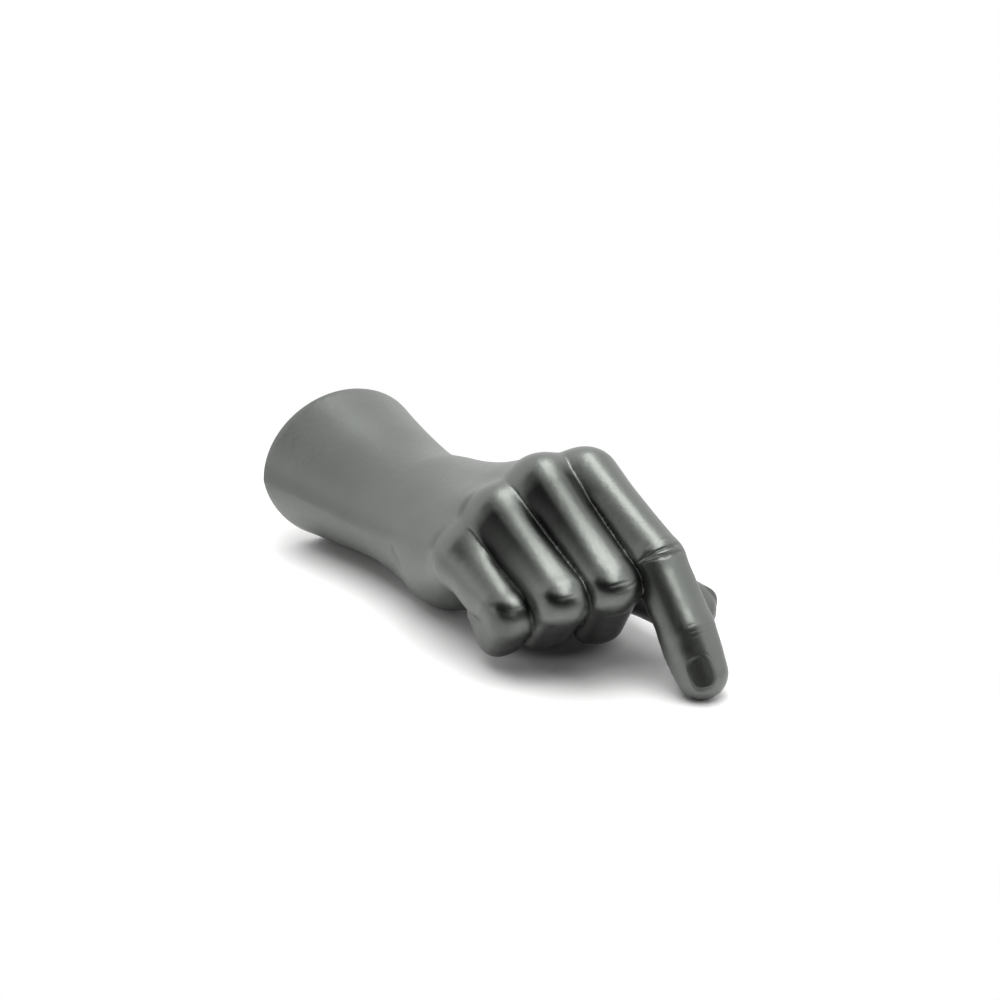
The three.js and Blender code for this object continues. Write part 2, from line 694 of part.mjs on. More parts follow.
function handCasting() {
  const reach = Math.max(...Object.values(FINGERS).map(({ widths }) => widths[0]), THUMB_WIDTHS[0]);
  const box = new THREE.Box3().setFromPoints([
    ...Object.values(skeleton).flatMap(({ joints }) => joints),
    ...thumbJoints,
    new THREE.Vector3(FOREARM_X - END_HALF_WIDTH, FOREARM_LENGTH + OFFCUT, 0),
    new THREE.Vector3(FOREARM_X + END_HALF_WIDTH, FOREARM_LENGTH + OFFCUT, 2 * END_HALF_HEIGHT),
  ]).expandByScalar(reach);
  const knuckleLine = skeleton.little.joints[0].y;
  const axes = [
    gridLines(box.min.x, box.max.x, CELL),
    gridLines(box.min.y, box.max.y, CELL, knuckleLine, FOREARM_CELL),
    gridLines(box.min.z, box.max.z, CELL),
  ];
  const wide = box.getSize(new THREE.Vector3());
  const offcut = new THREE.BoxGeometry(2 * wide.x, wide.y, 2 * wide.z)
    .translate(0, FOREARM_LENGTH + wide.y / 2, 0);
  const table = new THREE.BoxGeometry(2 * wide.x, 2 * wide.y, wide.z).translate(0, 0, -wide.z / 2);
  let body = solid(surfaceOf(hand, axes));
  for (const cut of [offcut, table, hollowCore(), endDisc(0, PLUG_THICKNESS + CLEARANCE, 0)]) {
    body = body.subtract(solid(cut));
  }
  body = body.subtract(solid(rodAlongFinger(ROD_DIAMETER + 2 * CLEARANCE, ROD_TIP_MARGIN - CLEARANCE)));
  for (const pad of Object.values(pads)) {
    body = body.subtract(solid(padDisc(pad, PAD_MARGIN, CLEARANCE)));
  }
  return geometryOf(body);
}

function fillWeight() {
  const rings = [];
  for (let i = 0; i <= FILL_STEPS; i += 1) {
    rings.push(coreRing(lerp(plugInner - CLEARANCE, FILL_FRONT, i / FILL_STEPS), FILL_CLEARANCE));
  }
  return loft(rings);
}

const lacquer = { color: 0x5d625e, roughness: 0.34, metalness: 0.85 };
const blackResin = { color: 0x2b2d2c, roughness: 0.6, metalness: 0.1 };
const plaster = { color: 0xb9b3a6, roughness: 0.9, metalness: 0 };
const steel = { color: 0x9a9da0, roughness: 0.35, metalness: 1 };
const felt = { color: 0x1c1d1e, roughness: 0.95, metalness: 0 };

const group = new THREE.Group();
function addPiece(name, geometry, finish) {
  const mesh = new THREE.Mesh(geometry, new THREE.MeshStandardMaterial(finish));
  mesh.name = name;
  group.add(mesh);
}
addPiece('hand_casting', handCasting(), lacquer);
addPiece('wrist_plug', endDisc(CLEARANCE, PLUG_THICKNESS, PLUG_CHAMFER), blackResin);
addPiece('ballast_fill', fillWeight(), plaster);
addPiece('finger_rod', rodAlongFinger(ROD_DIAMETER, ROD_TIP_MARGIN), steel);
for (const [name, pad] of Object.entries(pads)) addPiece(name, padDisc(pad), felt);

// The finished part stands on z = 0, centred under its bounding box
const bounds = new THREE.Box3().setFromObject(group);
const middle = bounds.getCenter(new THREE.Vector3());
group.position.set(-middle.x, -middle.y, -bounds.min.z);
group.updateMatrixWorld(true);

export default group;
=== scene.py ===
# %% [markdown]
# A life-size pointing hand
#
# The object is an ornament: a right hand that lies palm down. The index finger reaches forward and down
# until its tip touches the table, the other fingers are curled, the thumb lies beside them, and the
# forearm is cut off flat behind the wrist. It is one resin casting with a satin graphite lacquer.
# This lesson works the skin of the hand out as a smooth surface, adds the creases and the nails, and
# then sets up the finish, the light and the camera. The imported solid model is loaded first. It gives
# the frame that every piece has to fit.

import bpy
import numpy as np
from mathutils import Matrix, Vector


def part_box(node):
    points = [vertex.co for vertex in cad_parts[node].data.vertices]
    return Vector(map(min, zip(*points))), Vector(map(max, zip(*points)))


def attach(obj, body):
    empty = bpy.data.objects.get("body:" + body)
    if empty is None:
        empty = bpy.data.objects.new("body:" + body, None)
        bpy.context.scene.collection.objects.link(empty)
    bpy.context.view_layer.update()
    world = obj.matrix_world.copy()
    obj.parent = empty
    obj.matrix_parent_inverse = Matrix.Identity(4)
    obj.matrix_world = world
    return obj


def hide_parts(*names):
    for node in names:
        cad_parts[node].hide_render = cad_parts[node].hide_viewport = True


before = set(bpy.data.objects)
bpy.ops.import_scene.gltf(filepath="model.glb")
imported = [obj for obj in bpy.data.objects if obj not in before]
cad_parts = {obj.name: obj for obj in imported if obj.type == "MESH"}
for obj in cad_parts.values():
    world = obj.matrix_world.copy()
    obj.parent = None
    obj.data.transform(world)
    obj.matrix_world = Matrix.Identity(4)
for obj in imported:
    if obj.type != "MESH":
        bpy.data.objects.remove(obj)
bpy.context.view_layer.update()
MM = 0.001

# %% [markdown]
# The camera
#
# The picture looks down at the hand from its little finger side, about 36 degrees off the way that the
# finger points and 20 degrees above the table, with a long lens. The place and the aim were found by
# matching the outline of the solid model with the picture, so they are simply written down here.

# %% Camera
CAMERA_AT = Vector((-525.7, -729.8, 383.8)) * MM
CAMERA_AIM = Vector((21.4, 32.5, 32.1)) * MM
LENS_MM, SENSOR_MM = 92.0, 36.0


def add_object(name, data):
    """A new object in the scene for a mesh, a lamp or a camera."""
    made = bpy.data.objects.new(name, data)
    bpy.context.scene.collection.objects.link(made)
    return made


camera = add_object("camera", bpy.data.cameras.new("camera"))
camera.data.lens = LENS_MM
camera.data.sensor_width = SENSOR_MM
camera.location = CAMERA_AT
camera.rotation_euler = (CAMERA_AIM - CAMERA_AT).to_track_quat("-Z", "Y").to_euler()
bpy.context.scene.camera = camera
print("camera distance:", round((CAMERA_AIM - CAMERA_AT).length, 3), "m")

# %% [markdown]
# The frame of the hand
#
# A hand is easiest to describe in its own directions: forward from the wrist to the knuckles, sideways
# to the thumb, and out of its back. Those three directions are turned a little against the table,
# because the hand rises from the wrist, tilts to the little finger and swings inwards. Lengths are in
# millimetres here, with the wrist joint above the origin, and are made metres at the very end.

# %% Directions of the hand
WRIST = np.array([0.0, 0.0, 26.5])
HAND_RISE, HAND_TILT, HAND_SWING = np.radians([21.0, 6.5, 6.2])


def turn_about(axis, angle):
    """Rotation matrix about one of the axes x, y, z (0, 1, 2): cosines on the diagonal, sines across."""
    after, last = (axis + 1) % 3, (axis + 2) % 3
    matrix = np.eye(3)
    matrix[[after, last], [after, last]] = np.cos(angle)
    matrix[after, last] = -np.sin(angle)
    matrix[last, after] = np.sin(angle)
    return matrix


hand_turn = turn_about(2, -HAND_SWING) @ turn_about(0, -HAND_RISE) @ turn_about(1, -HAND_TILT)
forward = hand_turn @ (0.0, -1.0, 0.0)
side = hand_turn @ (1.0, 0.0, 0.0)
back = hand_turn @ (0.0, 0.0, 1.0)
hand_axes = np.array([forward, side, back])


def in_hand(place):
    """A place given as (reach, thumbwards, lift): the wrist plus so much of each hand direction."""
    return WRIST + np.asarray(place, float) @ hand_axes


print("the hand points along", forward.round(3))

# %% [markdown]
# The bones of the fingers
#
# A finger is three bones in a row. At each joint the next bone turns further from the plane of the
# hand, so the joints of a finger follow from its knuckle, three lengths and three angles. The index
# finger has one angle left open: its first joint bends until the tip meets the table. That angle is
# found by halving an interval, which is slow and safe, and forty halvings take no time.

# %% Finger skeletons
FINGERTIP_SINK, STEEPEST_BEND, HALVINGS = 0.3, 90.0, 40
# Places, lengths and widths in millimetres, angles in degrees. The widths are those at the knuckle, at the
# two joints and at the tip
FINGERS = {
    "index": dict(root=(14, 12, -1), knuckle=(86.4, 20.2, 3.5), bones=(46.6, 26.2, 26),
                  bends=(None, 28, 9.6), spread=2.4, widths=(20.8, 21, 20.4, 19.2)),
    "middle": dict(root=(12, 3, 1), knuckle=(82, 3.5, 5.4), bones=(52, 24.5, 22.8),
                   bends=(46.9, 104, 80), spread=6.8, widths=(22, 20, 19.4, 16.4)),
    "ring": dict(root=(10, -6, 0), knuckle=(76, -14.3, -0.6), bones=(47.2, 24, 22.8),
                 bends=(42.3, 113.7, 76), spread=5.8, widths=(21, 19.2, 18.4, 16)),
    "little": dict(root=(10, -13, -3), knuckle=(68.6, -27.4, -12.2), bones=(32.4, 16, 18),
                   bends=(41.5, 113.5, 70), spread=4.5, widths=(21.4, 18.4, 17, 14.4)),
}


def finger_skeleton(finger, first_bend):
    """Joints, bone directions and outward directions of a finger: each bone leaves the plane of the hand
    by the sum of the bends so far, along = out cos(sum) - back sin(sum)."""
    spread = np.radians(finger["spread"])
    out = forward * np.cos(spread) - side * np.sin(spread)
    across = side * np.cos(spread) + forward * np.sin(spread)
    total = np.cumsum(np.radians([first_bend, *finger["bends"][1:]]))[:, None]
    along = out * np.cos(total) - back * np.sin(total)
    outer = back * np.cos(total) + out * np.sin(total)
    steps = along * np.array(finger["bones"])[:, None]
    joints = in_hand(finger["knuckle"]) + np.vstack([np.zeros(3), np.cumsum(steps, axis=0)])
    radii = np.array(finger["widths"]) / 2
    tip = joints[3] - along[2] * radii[3]
    return dict(joints=joints, along=along, outer=outer, across=across, radii=radii, tip=tip)


def bend_to_table(finger):
    """The first bend at which the round fingertip just dips below the table, by halving an interval."""
    low, high = 0.0, STEEPEST_BEND
    for _ in range(HALVINGS):
        middle = (low + high) / 2
        trial = finger_skeleton(finger, middle)
        above = trial["tip"][2] - trial["radii"][3] > -FINGERTIP_SINK
        low, high = (middle, high) if above else (low, middle)
    return low


skeletons = {
    name: finger_skeleton(finger, finger["bends"][0] or bend_to_table(finger))
    for name, finger in FINGERS.items()
}
print("index finger bends by", round(bend_to_table(FINGERS["index"]), 2), "degrees at the knuckle")

# %% [markdown]
# Volumes
#
# The skin of a hand branches, so it is not one sheet with two parameters. It could be modelled from a
# box with loop cuts and a subdivision surface, but then every joint is placed by eye. Here it is the
# zero surface of a distance: each bone and each cushion of flesh is a simple volume with a formula that
# is negative inside and positive outside, and two volumes flow together where their distances are
# blended instead of just taking the smaller one.

# %% Blending two distances
TINY = 1e-9
BLEND_WRIST, BLEND_BACK, BLEND_PALM, BLEND_FINGER_ROOT, BLEND_THUMB_ROOT = 16.0, 13.0, 10.0, 7.0, 8.0
BLEND_WEB, BLEND_PAD, BLEND_JOINT, BLEND_TOUCH = 5.0, 3.0, 1.2, 0.6


def blend(a, b, width):
    """The smaller of two distances, lowered where they differ by less than one and a half widths: by
    h * h * h * width / 4, where h is the share of that which is left. A fillet that begins and ends without
    a visible line, because its curvature starts from nothing."""
    left = np.maximum(1 - np.abs(a - b) / (1.5 * width), 0)
    return np.minimum(a, b) - left ** 3 * width / 4


print("the fillet at the wrist is at most", -blend(0.0, 0.0, BLEND_WRIST), "mm thick")

# %% Bones
ROUND = 2.0


def unit(vector):
    """A vector divided by its length."""
    return vector / np.linalg.norm(vector)


def bone(start, end, radius_start, radius_end, across, flatness=1.0, waist=0.0, powers=(ROUND, ROUND)):
    """A capsule whose radius runs evenly from one end to the other, drawn in by waist halfway. Its section
    is |u|^power + |w / flatness|^power = radius^power, a circle for 2 and squarer above, and the power runs
    from its first value to its second with the square of the share along the bone."""
    axis = end - start
    length = np.linalg.norm(axis)
    axis = axis / length
    through = unit(np.cross(across, axis))
    lateral = np.cross(axis, through)

    def distance(points):
        q = points - start
        s = q @ axis
        t = np.clip(s / length, 0, 1)
        beyond = s - t * length
        u, w = np.abs(q @ lateral), np.abs(q @ through) / flatness
        power = powers[0] + (powers[1] - powers[0]) * t * t
        section = (u ** power + w ** power + TINY) ** (1 / power)
        whole = np.sqrt(section ** 2 + beyond ** 2)
        steep = np.hypot((u / section) ** (power - 1), (w / section) ** (power - 1) / flatness)
        slope = np.sqrt((section * steep) ** 2 + beyond ** 2) / whole
        radius = radius_start + (radius_end - radius_start) * t - 4 * waist * t * (1 - t)
        return (whole - radius) / np.maximum(slope, TINY)

    return distance


sample_bone = bone(np.zeros(3), 40 * side, 10.0, 10.0, forward)
print("13 mm off the middle of a bone 20 mm thick:", sample_bone(20 * side + 13 * back[None]).round(2), "mm")


# %% Cushions of flesh
def flesh(middle, axes, size):
    """An egg-shaped volume: k (k - 1) / |slope of k|, where k is the distance from the middle counted in
    half lengths."""
    half = np.array(size, float) / 2

    def distance(points):
        q = (points - middle) @ np.transpose(axes) / half
        k = np.sqrt((q ** 2).sum(axis=1) + TINY)
        return k * (k - 1) / np.sqrt(((q / half) ** 2).sum(axis=1) + TINY)

    return distance


sample_cushion = flesh(np.zeros(3), hand_axes, (60, 30, 20))
print("13 mm above the middle of a cushion 20 mm thick:", sample_cushion(13 * back[None]).round(2), "mm")

# %% [markdown]
# The forearm
#
# The forearm is a tube with upright sections like an egg on its tip: an oval that is a little narrower
# below. It is narrowest at the wrist, flares to the cut end and runs a little way into the hand, where the
# back of the hand takes over. It could be turned round an axis like a vase, but its sections aren't round
# and their middle climbs, so it is a distance as well, and flows into the hand like the rest.

# %% Forearm tube
FOREARM_LENGTH, FOREARM_X, FOREARM_FLARE, FOREARM_EGG = 64.0, -6.0, 1.45, 0.14
FOREARM_FRONT, CARPUS_REACH = 20.0, 30.0
# Height of the middle, half width and half height of each section
END_SECTION, WRIST_SECTION, CARPUS_SECTION = (30.6, 37.6, 31.4), (25.9, 28.5, 23.1), (29.0, 25.0, 16.5)


def forearm_section(y):
    """Height of the middle, half width and half height at a place along the arm: from the wrist's values
    to the end's with the share (y / length)^flare, or to the carpus's with a smooth step."""
    behind = np.clip(y / FOREARM_LENGTH, 0, None) ** FOREARM_FLARE
    t = np.clip(-y / CARPUS_REACH, 0, 1)
    ahead = t * t * (3 - 2 * t)
    return [w + (e - w) * behind + (c - w) * ahead
            for e, w, c in zip(END_SECTION, WRIST_SECTION, CARPUS_SECTION)]


def forearm(points):
    """Distance from the tube, with a softly rounded front end inside the hand: the formula of the egg-shaped
    cushion in each section, with the half width shrunk below the middle."""
    x, y, z = points.T
    height, half_width, half_height = forearm_section(y)
    up = (z - height) / half_height
    half_width = half_width * (1 + FOREARM_EGG * np.clip(up, -1, 0))
    across = (x - FOREARM_X) / half_width
    k = np.sqrt(across ** 2 + up ** 2 + TINY)
    tube = k * (k - 1) / np.sqrt((across / half_width) ** 2 + (up / half_height) ** 2 + TINY)
    return -blend(-tube, y + FOREARM_FRONT, BLEND_PALM)


print("section halfway along the forearm:", np.round(forearm_section(FOREARM_LENGTH / 2), 1), "mm")

# %% [markdown]
# Flesh and fingers
#
# The palm, the heel of the hand, its outer edge and its back are egg-shaped cushions. The heel is lowered
# until it rests on the table. In the back of the hand a bone runs towards each knuckle and stops just short
# of it, so that the ridge of the finger starts out straight. A finger has a soft pad under its first bone,
# and the index finger has the pulp of its tip. The bent joints are squarer than round, as pressed fingers
# are. A web of skin joins each finger to the next: two short rods from bone to bone, blended in.

# %% Palm and back of the hand
HEEL_PLACE, HEEL_SIZE, HEEL_SINK = (31, -14.5, -16), (58, 30, 30), 0.6
# Place and size of each cushion in the directions of the hand
CUSHIONS = {
    "palm": ((48, 0, -11), (68, 60, 26)),
    "thumb side": ((50, 21, -10), (52, 24, 20)),
    "outer edge": ((43, -22.5, -13), (54, 25, 22)),
    "back": ((30, -5, -6), (64, 50, 29)),
}
METACARPAL_ROOT_WIDTH, KNUCKLE_GAP, KNUCKLE_STEP = 23.0, 6.0, 0.6

heel_middle = in_hand(HEEL_PLACE)
heel_middle[2] = np.linalg.norm(hand_axes[:, 2] * HEEL_SIZE) / 2 - HEEL_SINK
cushions = [flesh(heel_middle, hand_axes, HEEL_SIZE)]
cushions += [flesh(in_hand(place), hand_axes, size) for place, size in CUSHIONS.values()]
metacarpals = [
    bone(in_hand(f["root"]), in_hand(f["knuckle"]) - forward * KNUCKLE_GAP, METACARPAL_ROOT_WIDTH / 2,
         f["widths"][0] / 2 - KNUCKLE_STEP, side)
    for f in FINGERS.values()
]
print("the middle of the heel lies", heel_middle[2].round(1), "mm above the table")

# %% Fingers and webs
FINGER_FLATNESS, FINGER_WAIST, JOINT_POWER = 0.96, 0.3, 2.7
# A pad's size is a share of the bone's length, then of its radius across and through
PAD_SHARE, PAD_DROP, PAD_SIZE = 0.42, 3.5, (0.92, 1.86, 1.84)
PULP_REACH, PULP_DROP, PULP_SIZE = 6.5, 1.4, (28, 19, 19)
WEB_SHARES, WEB_DROPS, WEB_RADII = (0.0, 0.14), (2.0, 3.0, 3.5, 5.0), (7.0, 6.4, 5.4)


def finger_volumes(name):
    """The first bone with its pad, and the two outer bones, of one finger."""
    k = skeletons[name]
    joints, along, outer, across, r = k["joints"], k["along"], k["outer"], k["across"], k["radii"]
    length = np.linalg.norm(joints[1] - joints[0])
    squarer = ROUND if name == "index" else JOINT_POWER
    first = bone(joints[0], joints[1], r[0], r[1], across, FINGER_FLATNESS, FINGER_WAIST, (ROUND, squarer))
    second = bone(joints[1], joints[2], r[1], r[2], across, FINGER_FLATNESS, 0.0, (squarer, squarer))
    third = bone(joints[2], k["tip"], r[2], r[3], across, FINGER_FLATNESS, 0.0, (squarer, ROUND))
    pad_middle = joints[0] + along[0] * length * PAD_SHARE - outer[0] * PAD_DROP
    pad = flesh(pad_middle, (along[0], across, outer[0]), np.array(PAD_SIZE) * (length, r[0], r[0]))
    pulp_middle = joints[2] + along[2] * PULP_REACH - outer[2] * PULP_DROP
    pulp = flesh(pulp_middle, (along[2], across, outer[2]), PULP_SIZE)

    def base(points):
        return blend(first(points), pad(points), BLEND_PAD)

    def outer_bones(points):
        end = third(points)
        if name == "index":
            end = blend(end, pulp(points), BLEND_PAD)
        return blend(second(points), end, BLEND_JOINT)

    return base, outer_bones


fingers = [finger_volumes(name) for name in FINGERS]
webs = []
for share in WEB_SHARES:
    ends = [
        k["joints"][0] + (k["joints"][1] - k["joints"][0]) * share - k["outer"][0] * drop
        for k, drop in zip(skeletons.values(), WEB_DROPS)
    ]
    webs += [bone(a, b, radius, radius, forward) for a, b, radius in zip(ends, ends[1:], WEB_RADII)]
print("fingers:", len(fingers), "rods in the webs:", len(webs))

# %% Thumb and the whole hand
THUMB_PLACES = ((20, 16, -13), (55, 31, -28), (85, 28.5, -41.5), (106.5, 33.5, -51.3))
THUMB_WIDTHS, THUMB_FLATNESS = (30, 23, 19.8, 21.6), (1.0, 0.93, 0.93)

thumb_joints = [in_hand(place) for place in THUMB_PLACES]
thumb_radii = np.array(THUMB_WIDTHS) / 2
thenar, thumb_first, thumb_second = [
    bone(*thumb_joints[i:i + 2], *thumb_radii[i:i + 2], back, flatness)
    for i, flatness in enumerate(THUMB_FLATNESS)
]


def hand(points):
    """Distance from the whole hand: the forearm, the back and the palm are one soft body, the fingers and
    the thumb grow out of it with a fillet at the root, and further out they only touch."""
    body = metacarpals[0](points)
    for volume in metacarpals[1:]:
        body = blend(body, volume(points), BLEND_BACK)
    body = blend(forearm(points), body, BLEND_WRIST)
    for volume in [*cushions, thenar]:
        body = blend(body, volume(points), BLEND_PALM)
    for volume in webs:
        body = blend(body, volume(points), BLEND_WEB)
    bases = [base(points) for base, _ in fingers]
    thumb_base = thumb_first(points)
    skin = blend(body, np.min(bases, axis=0), BLEND_FINGER_ROOT)
    skin = blend(skin, thumb_base, BLEND_THUMB_ROOT)
    for base, (_, outer_bones) in zip(bases, fingers):
        skin = blend(skin, blend(base, outer_bones(points), BLEND_JOINT), BLEND_TOUCH)
    return blend(skin, blend(thumb_base, thumb_second(points), BLEND_JOINT), BLEND_TOUCH)


print("distance at the wrist joint:", hand(WRIST[None]).round(2), "mm")

# %% [markdown]
# From distance to mesh
#
# The distance is worked out at the corners of a box grid. A grid cell whose corners are not all on the
# same side holds a piece of the skin, and gets a vertex. Where two sheets of skin pass through one cell,
# as between two fingers, it gets one vertex for each, so that the mesh stays closed. Every grid edge
# that the skin crosses then becomes a four-sided face between the four cells round it. The cells are
# fine at the fingers and longer along the plain forearm.

# %% Sheets of skin in one grid cell
CELL_EDGES = [(first, axis) for first in range(8) for axis in range(3) if not first >> axis & 1]
EDGE_NUMBER = {edge: number for number, edge in enumerate(CELL_EDGES)}


def cell_faces():
    """The six faces of a cell: four edges in turn, and the corner between each edge and the next."""
    for axis in range(3):
        u, v = 1 << (axis + 1) % 3, 1 << (axis + 2) % 3
        for near in (0, 1 << axis):
            a, b = (axis + 1) % 3, (axis + 2) % 3
            edges = [EDGE_NUMBER[edge] for edge in ((near, a), (near | u, b), (near | v, a), (near, b))]
            yield edges, [near | u, near | u | v, near | v, near]


def sheets_of(pattern):
    """Sheet number of each of the 12 edges for one pattern of inside corners, and -1 where an edge isn't
    crossed: two crossed edges of a face share a sheet, and where all four are crossed, the two round an
    inside corner do."""
    inside = [pattern >> corner & 1 for corner in range(8)]
    crossings = [inside[corner] != inside[corner | 1 << axis] for corner, axis in CELL_EDGES]
    label = np.where(crossings, np.arange(len(CELL_EDGES)), -1)
    for edges, corners in cell_faces():
        crossed = [e for e in edges if label[e] >= 0]
        pairs = [crossed] if len(crossed) == 2 else []
        if len(crossed) == 4:
            pairs = [(edges[i], edges[(i + 1) % 4]) for i in range(4) if inside[corners[i]]]
        for one, other in pairs:
            label[label == label[one]] = label[other]
    names = [name for name in np.unique(label) if name >= 0]
    return [names.index(name) if name >= 0 else -1 for name in label]


SHEETS = np.array([sheets_of(pattern) for pattern in range(256)])
print("a cell holds at most", SHEETS.max() + 1, "sheets of skin")


# %% Distances on a grid
CELL_GROWTH = 1.04


def graded_lines(start, end, cell, wide_from=np.inf, wide_cell=None):
    """Grid lines one cell apart. Past a given place each step is a fixed share wider than the one before,
    up to the wide cell."""
    lines, step = [start], cell
    while lines[-1] < end:
        step = min(step * CELL_GROWTH, wide_cell) if lines[-1] > wide_from else cell
        lines.append(lines[-1] + step)
    return np.array(lines)


def grid_values(distance, lines):
    """The distance at every corner of the grid, one upright slab after the other."""
    grid_x, grid_z = np.meshgrid(lines[0], lines[2], indexing="ij")
    values = np.empty([len(line) for line in lines])
    for j, y in enumerate(lines[1]):
        slab = np.column_stack([grid_x.ravel(), np.full(grid_x.size, y), grid_z.ravel()])
        values[:, j] = distance(slab).reshape(grid_x.shape)
    return values


print("lines that widen past 2:", graded_lines(0.0, 5.0, 1.0, 2.0, 1.1).round(2))


# %% Skin mesh from the grid
def skin_mesh(distance, lines):
    """Vertices and four-sided faces of the zero surface: a vertex is the mean of the places where the
    edges of its sheet are crossed, and a crossed grid edge gives a face."""
    values = grid_values(distance, lines)
    inside = values < 0
    counts = values.shape
    steps = np.array([[c & 1, c >> 1 & 1, c >> 2 & 1] for c in range(8)])
    pattern = np.zeros([n - 1 for n in counts], int)
    for corner, (i, j, k) in enumerate(steps):
        pattern |= inside[i:i + counts[0] - 1, j:j + counts[1] - 1, k:k + counts[2] - 1].astype(int) << corner
    cells = np.argwhere((pattern > 0) & (pattern < 255))
    sheets = SHEETS[pattern[tuple(cells.T)]]
    number = np.full(pattern.shape, -1)
    number[tuple(cells.T)] = np.arange(len(cells))
    first = np.concatenate([[0], np.cumsum(sheets.max(axis=1) + 1)])
    vertex_of = np.where(sheets >= 0, first[:-1, None] + sheets, -1)
    sums, hits = np.zeros((first[-1], 3)), np.zeros(first[-1])
    for edge, (corner, axis) in enumerate(CELL_EDGES):
        crossed = sheets[:, edge] >= 0
        low = cells[crossed] + steps[corner]
        high = low + np.eye(3, dtype=int)[axis]
        a, b = values[tuple(low.T)], values[tuple(high.T)]
        from_low, from_high = [np.column_stack([lines[c][i[:, c]] for c in range(3)]) for i in (low, high)]
        places = from_low + (from_high - from_low) * (a / (a - b))[:, None]
        for c in range(3):
            sums[:, c] += np.bincount(vertex_of[crossed, edge], places[:, c], first[-1])
        hits += np.bincount(vertex_of[crossed, edge], minlength=first[-1])
    faces = []
    for axis in range(3):
        u, v = 1 << (axis + 1) % 3, 1 << (axis + 2) % 3
        ahead = np.roll(inside, -1, axis)
        crossing = np.argwhere((inside != ahead)[1:-1, 1:-1, 1:-1]) + 1
        round_edge = [vertex_of[number[tuple((crossing - steps[bits]).T)], EDGE_NUMBER[bits, axis]]
                      for bits in (u | v, v, 0, u)]
        quads = np.column_stack(round_edge)
        outwards = inside[tuple(crossing.T)]
        faces.append(np.where(outwards[:, None], quads, quads[:, ::-1]))
    return sums / hits[:, None], np.vstack(faces)


# %% [markdown]
# The grid reaches past the cut end. The faces beyond the last row before the cut are left out, and the
# rim that this leaves is closed by hand further down.

# %% Raw skin
CELL, FOREARM_CELL, EDGE_ROUND, ROWS_PAST_RIM = 0.93, 1.8, 1.2, 4
GRID_ACROSS, GRID_FRONT, GRID_UPRIGHT = (-56.0, 46.0), -162.0, (-4.0, 82.0)
RIM_Y = FOREARM_LENGTH - EDGE_ROUND

knuckle_row = skeletons["little"]["joints"][0][1]
grid = [
    graded_lines(*GRID_ACROSS, CELL),
    graded_lines(GRID_FRONT, RIM_Y + ROWS_PAST_RIM * FOREARM_CELL, CELL, knuckle_row, FOREARM_CELL),
    graded_lines(*GRID_UPRIGHT, CELL),
]
last_line = grid[1][grid[1] < RIM_Y][-1]
skin, faces = skin_mesh(hand, grid)
faces = faces[(skin[faces][:, :, 1] < last_line).all(axis=1)]
print("raw skin:", len(skin), "vertices,", len(faces), "faces")


# %% Outer shell only
def largest_shell(faces, count):
    """Keeps the faces of the largest connected shell: every vertex takes the lowest number among its
    neighbours again and again, until each shell has one number. Air bubbles in the flesh are left out."""
    label = np.arange(count)
    while True:
        lowest = label.copy()
        np.minimum.at(lowest, faces, label[faces].min(axis=1)[:, None])
        lowest = lowest[lowest]
        if (lowest == label).all():
            break
        label = lowest
    shells, sizes = np.unique(label[faces[:, 0]], return_counts=True)
    return faces[label[faces[:, 0]] == shells[sizes.argmax()]]


faces = largest_shell(faces, len(skin))
used, faces = np.unique(faces, return_inverse=True)
faces = faces.reshape(-1, 4)
skin = skin[used]
pairs = np.vstack([faces[:, [i, (i + 1) % 4]] for i in range(4)])
edges, edge_uses = np.unique(np.sort(pairs, axis=1), axis=0, return_counts=True)
rim = np.unique(edges[edge_uses == 1])
print("outer shell:", len(skin), "vertices,", len(faces), "faces, rim of", len(rim))

# %% [markdown]
# Evening out
#
# The raw vertices lie a little off the skin and unevenly. Each one slides along the slope of the
# distance until it lies on the skin. Then it moves to the mean of its neighbours and slides back, a few
# times over, which spreads the vertices evenly without making the hand thinner, as plain smoothing would.

# %% Settle and relax
PROBE, LEAST_SLOPE, SETTLE_ROUNDS, RELAX_ROUNDS = 0.02, 0.1, 2, 4


def slope_of(points):
    """The distance, and its change over a short step along each axis."""
    here = hand(points)
    return here, np.column_stack([hand(points + PROBE * step) - here for step in np.eye(3)]) / PROBE


def settle(points, rim=()):
    """Newton's step towards the skin: minus the distance over the squared slope, times the slope. The rim
    slides within the plane of the cut."""
    points[rim, 1] = RIM_Y
    for _ in range(SETTLE_ROUNDS):
        here, slope = slope_of(points)
        slope[rim, 1] = 0
        step = -here / np.maximum((slope ** 2).sum(axis=1), LEAST_SLOPE)
        points = points + slope * np.clip(step, -CELL / 2, CELL / 2)[:, None]
    return points


starts, ends = np.vstack([edges, edges[:, ::-1]]).T
neighbours = np.bincount(starts)[:, None]
skin = settle(skin, rim)
for _ in range(RELAX_ROUNDS):
    means = np.column_stack([np.bincount(starts, skin[ends, c]) for c in range(3)]) / neighbours
    skin = settle(means, rim)
print("left off the skin:", np.abs(hand(skin)).max().round(3), "mm at most")

# %% [markdown]
# Where the creases and the nails are
#
# The skin folds across the back of each finger joint, and a shallow fold runs round the edge of the
# wrist. A fold is a path over the skin. On a finger it is written down in millimetres along the finger
# and across it from the joint, so it stays in place when the finger is changed, and then slid onto the
# skin. A nail is written down by its tip, the way it points, the way it faces, its length and its width.

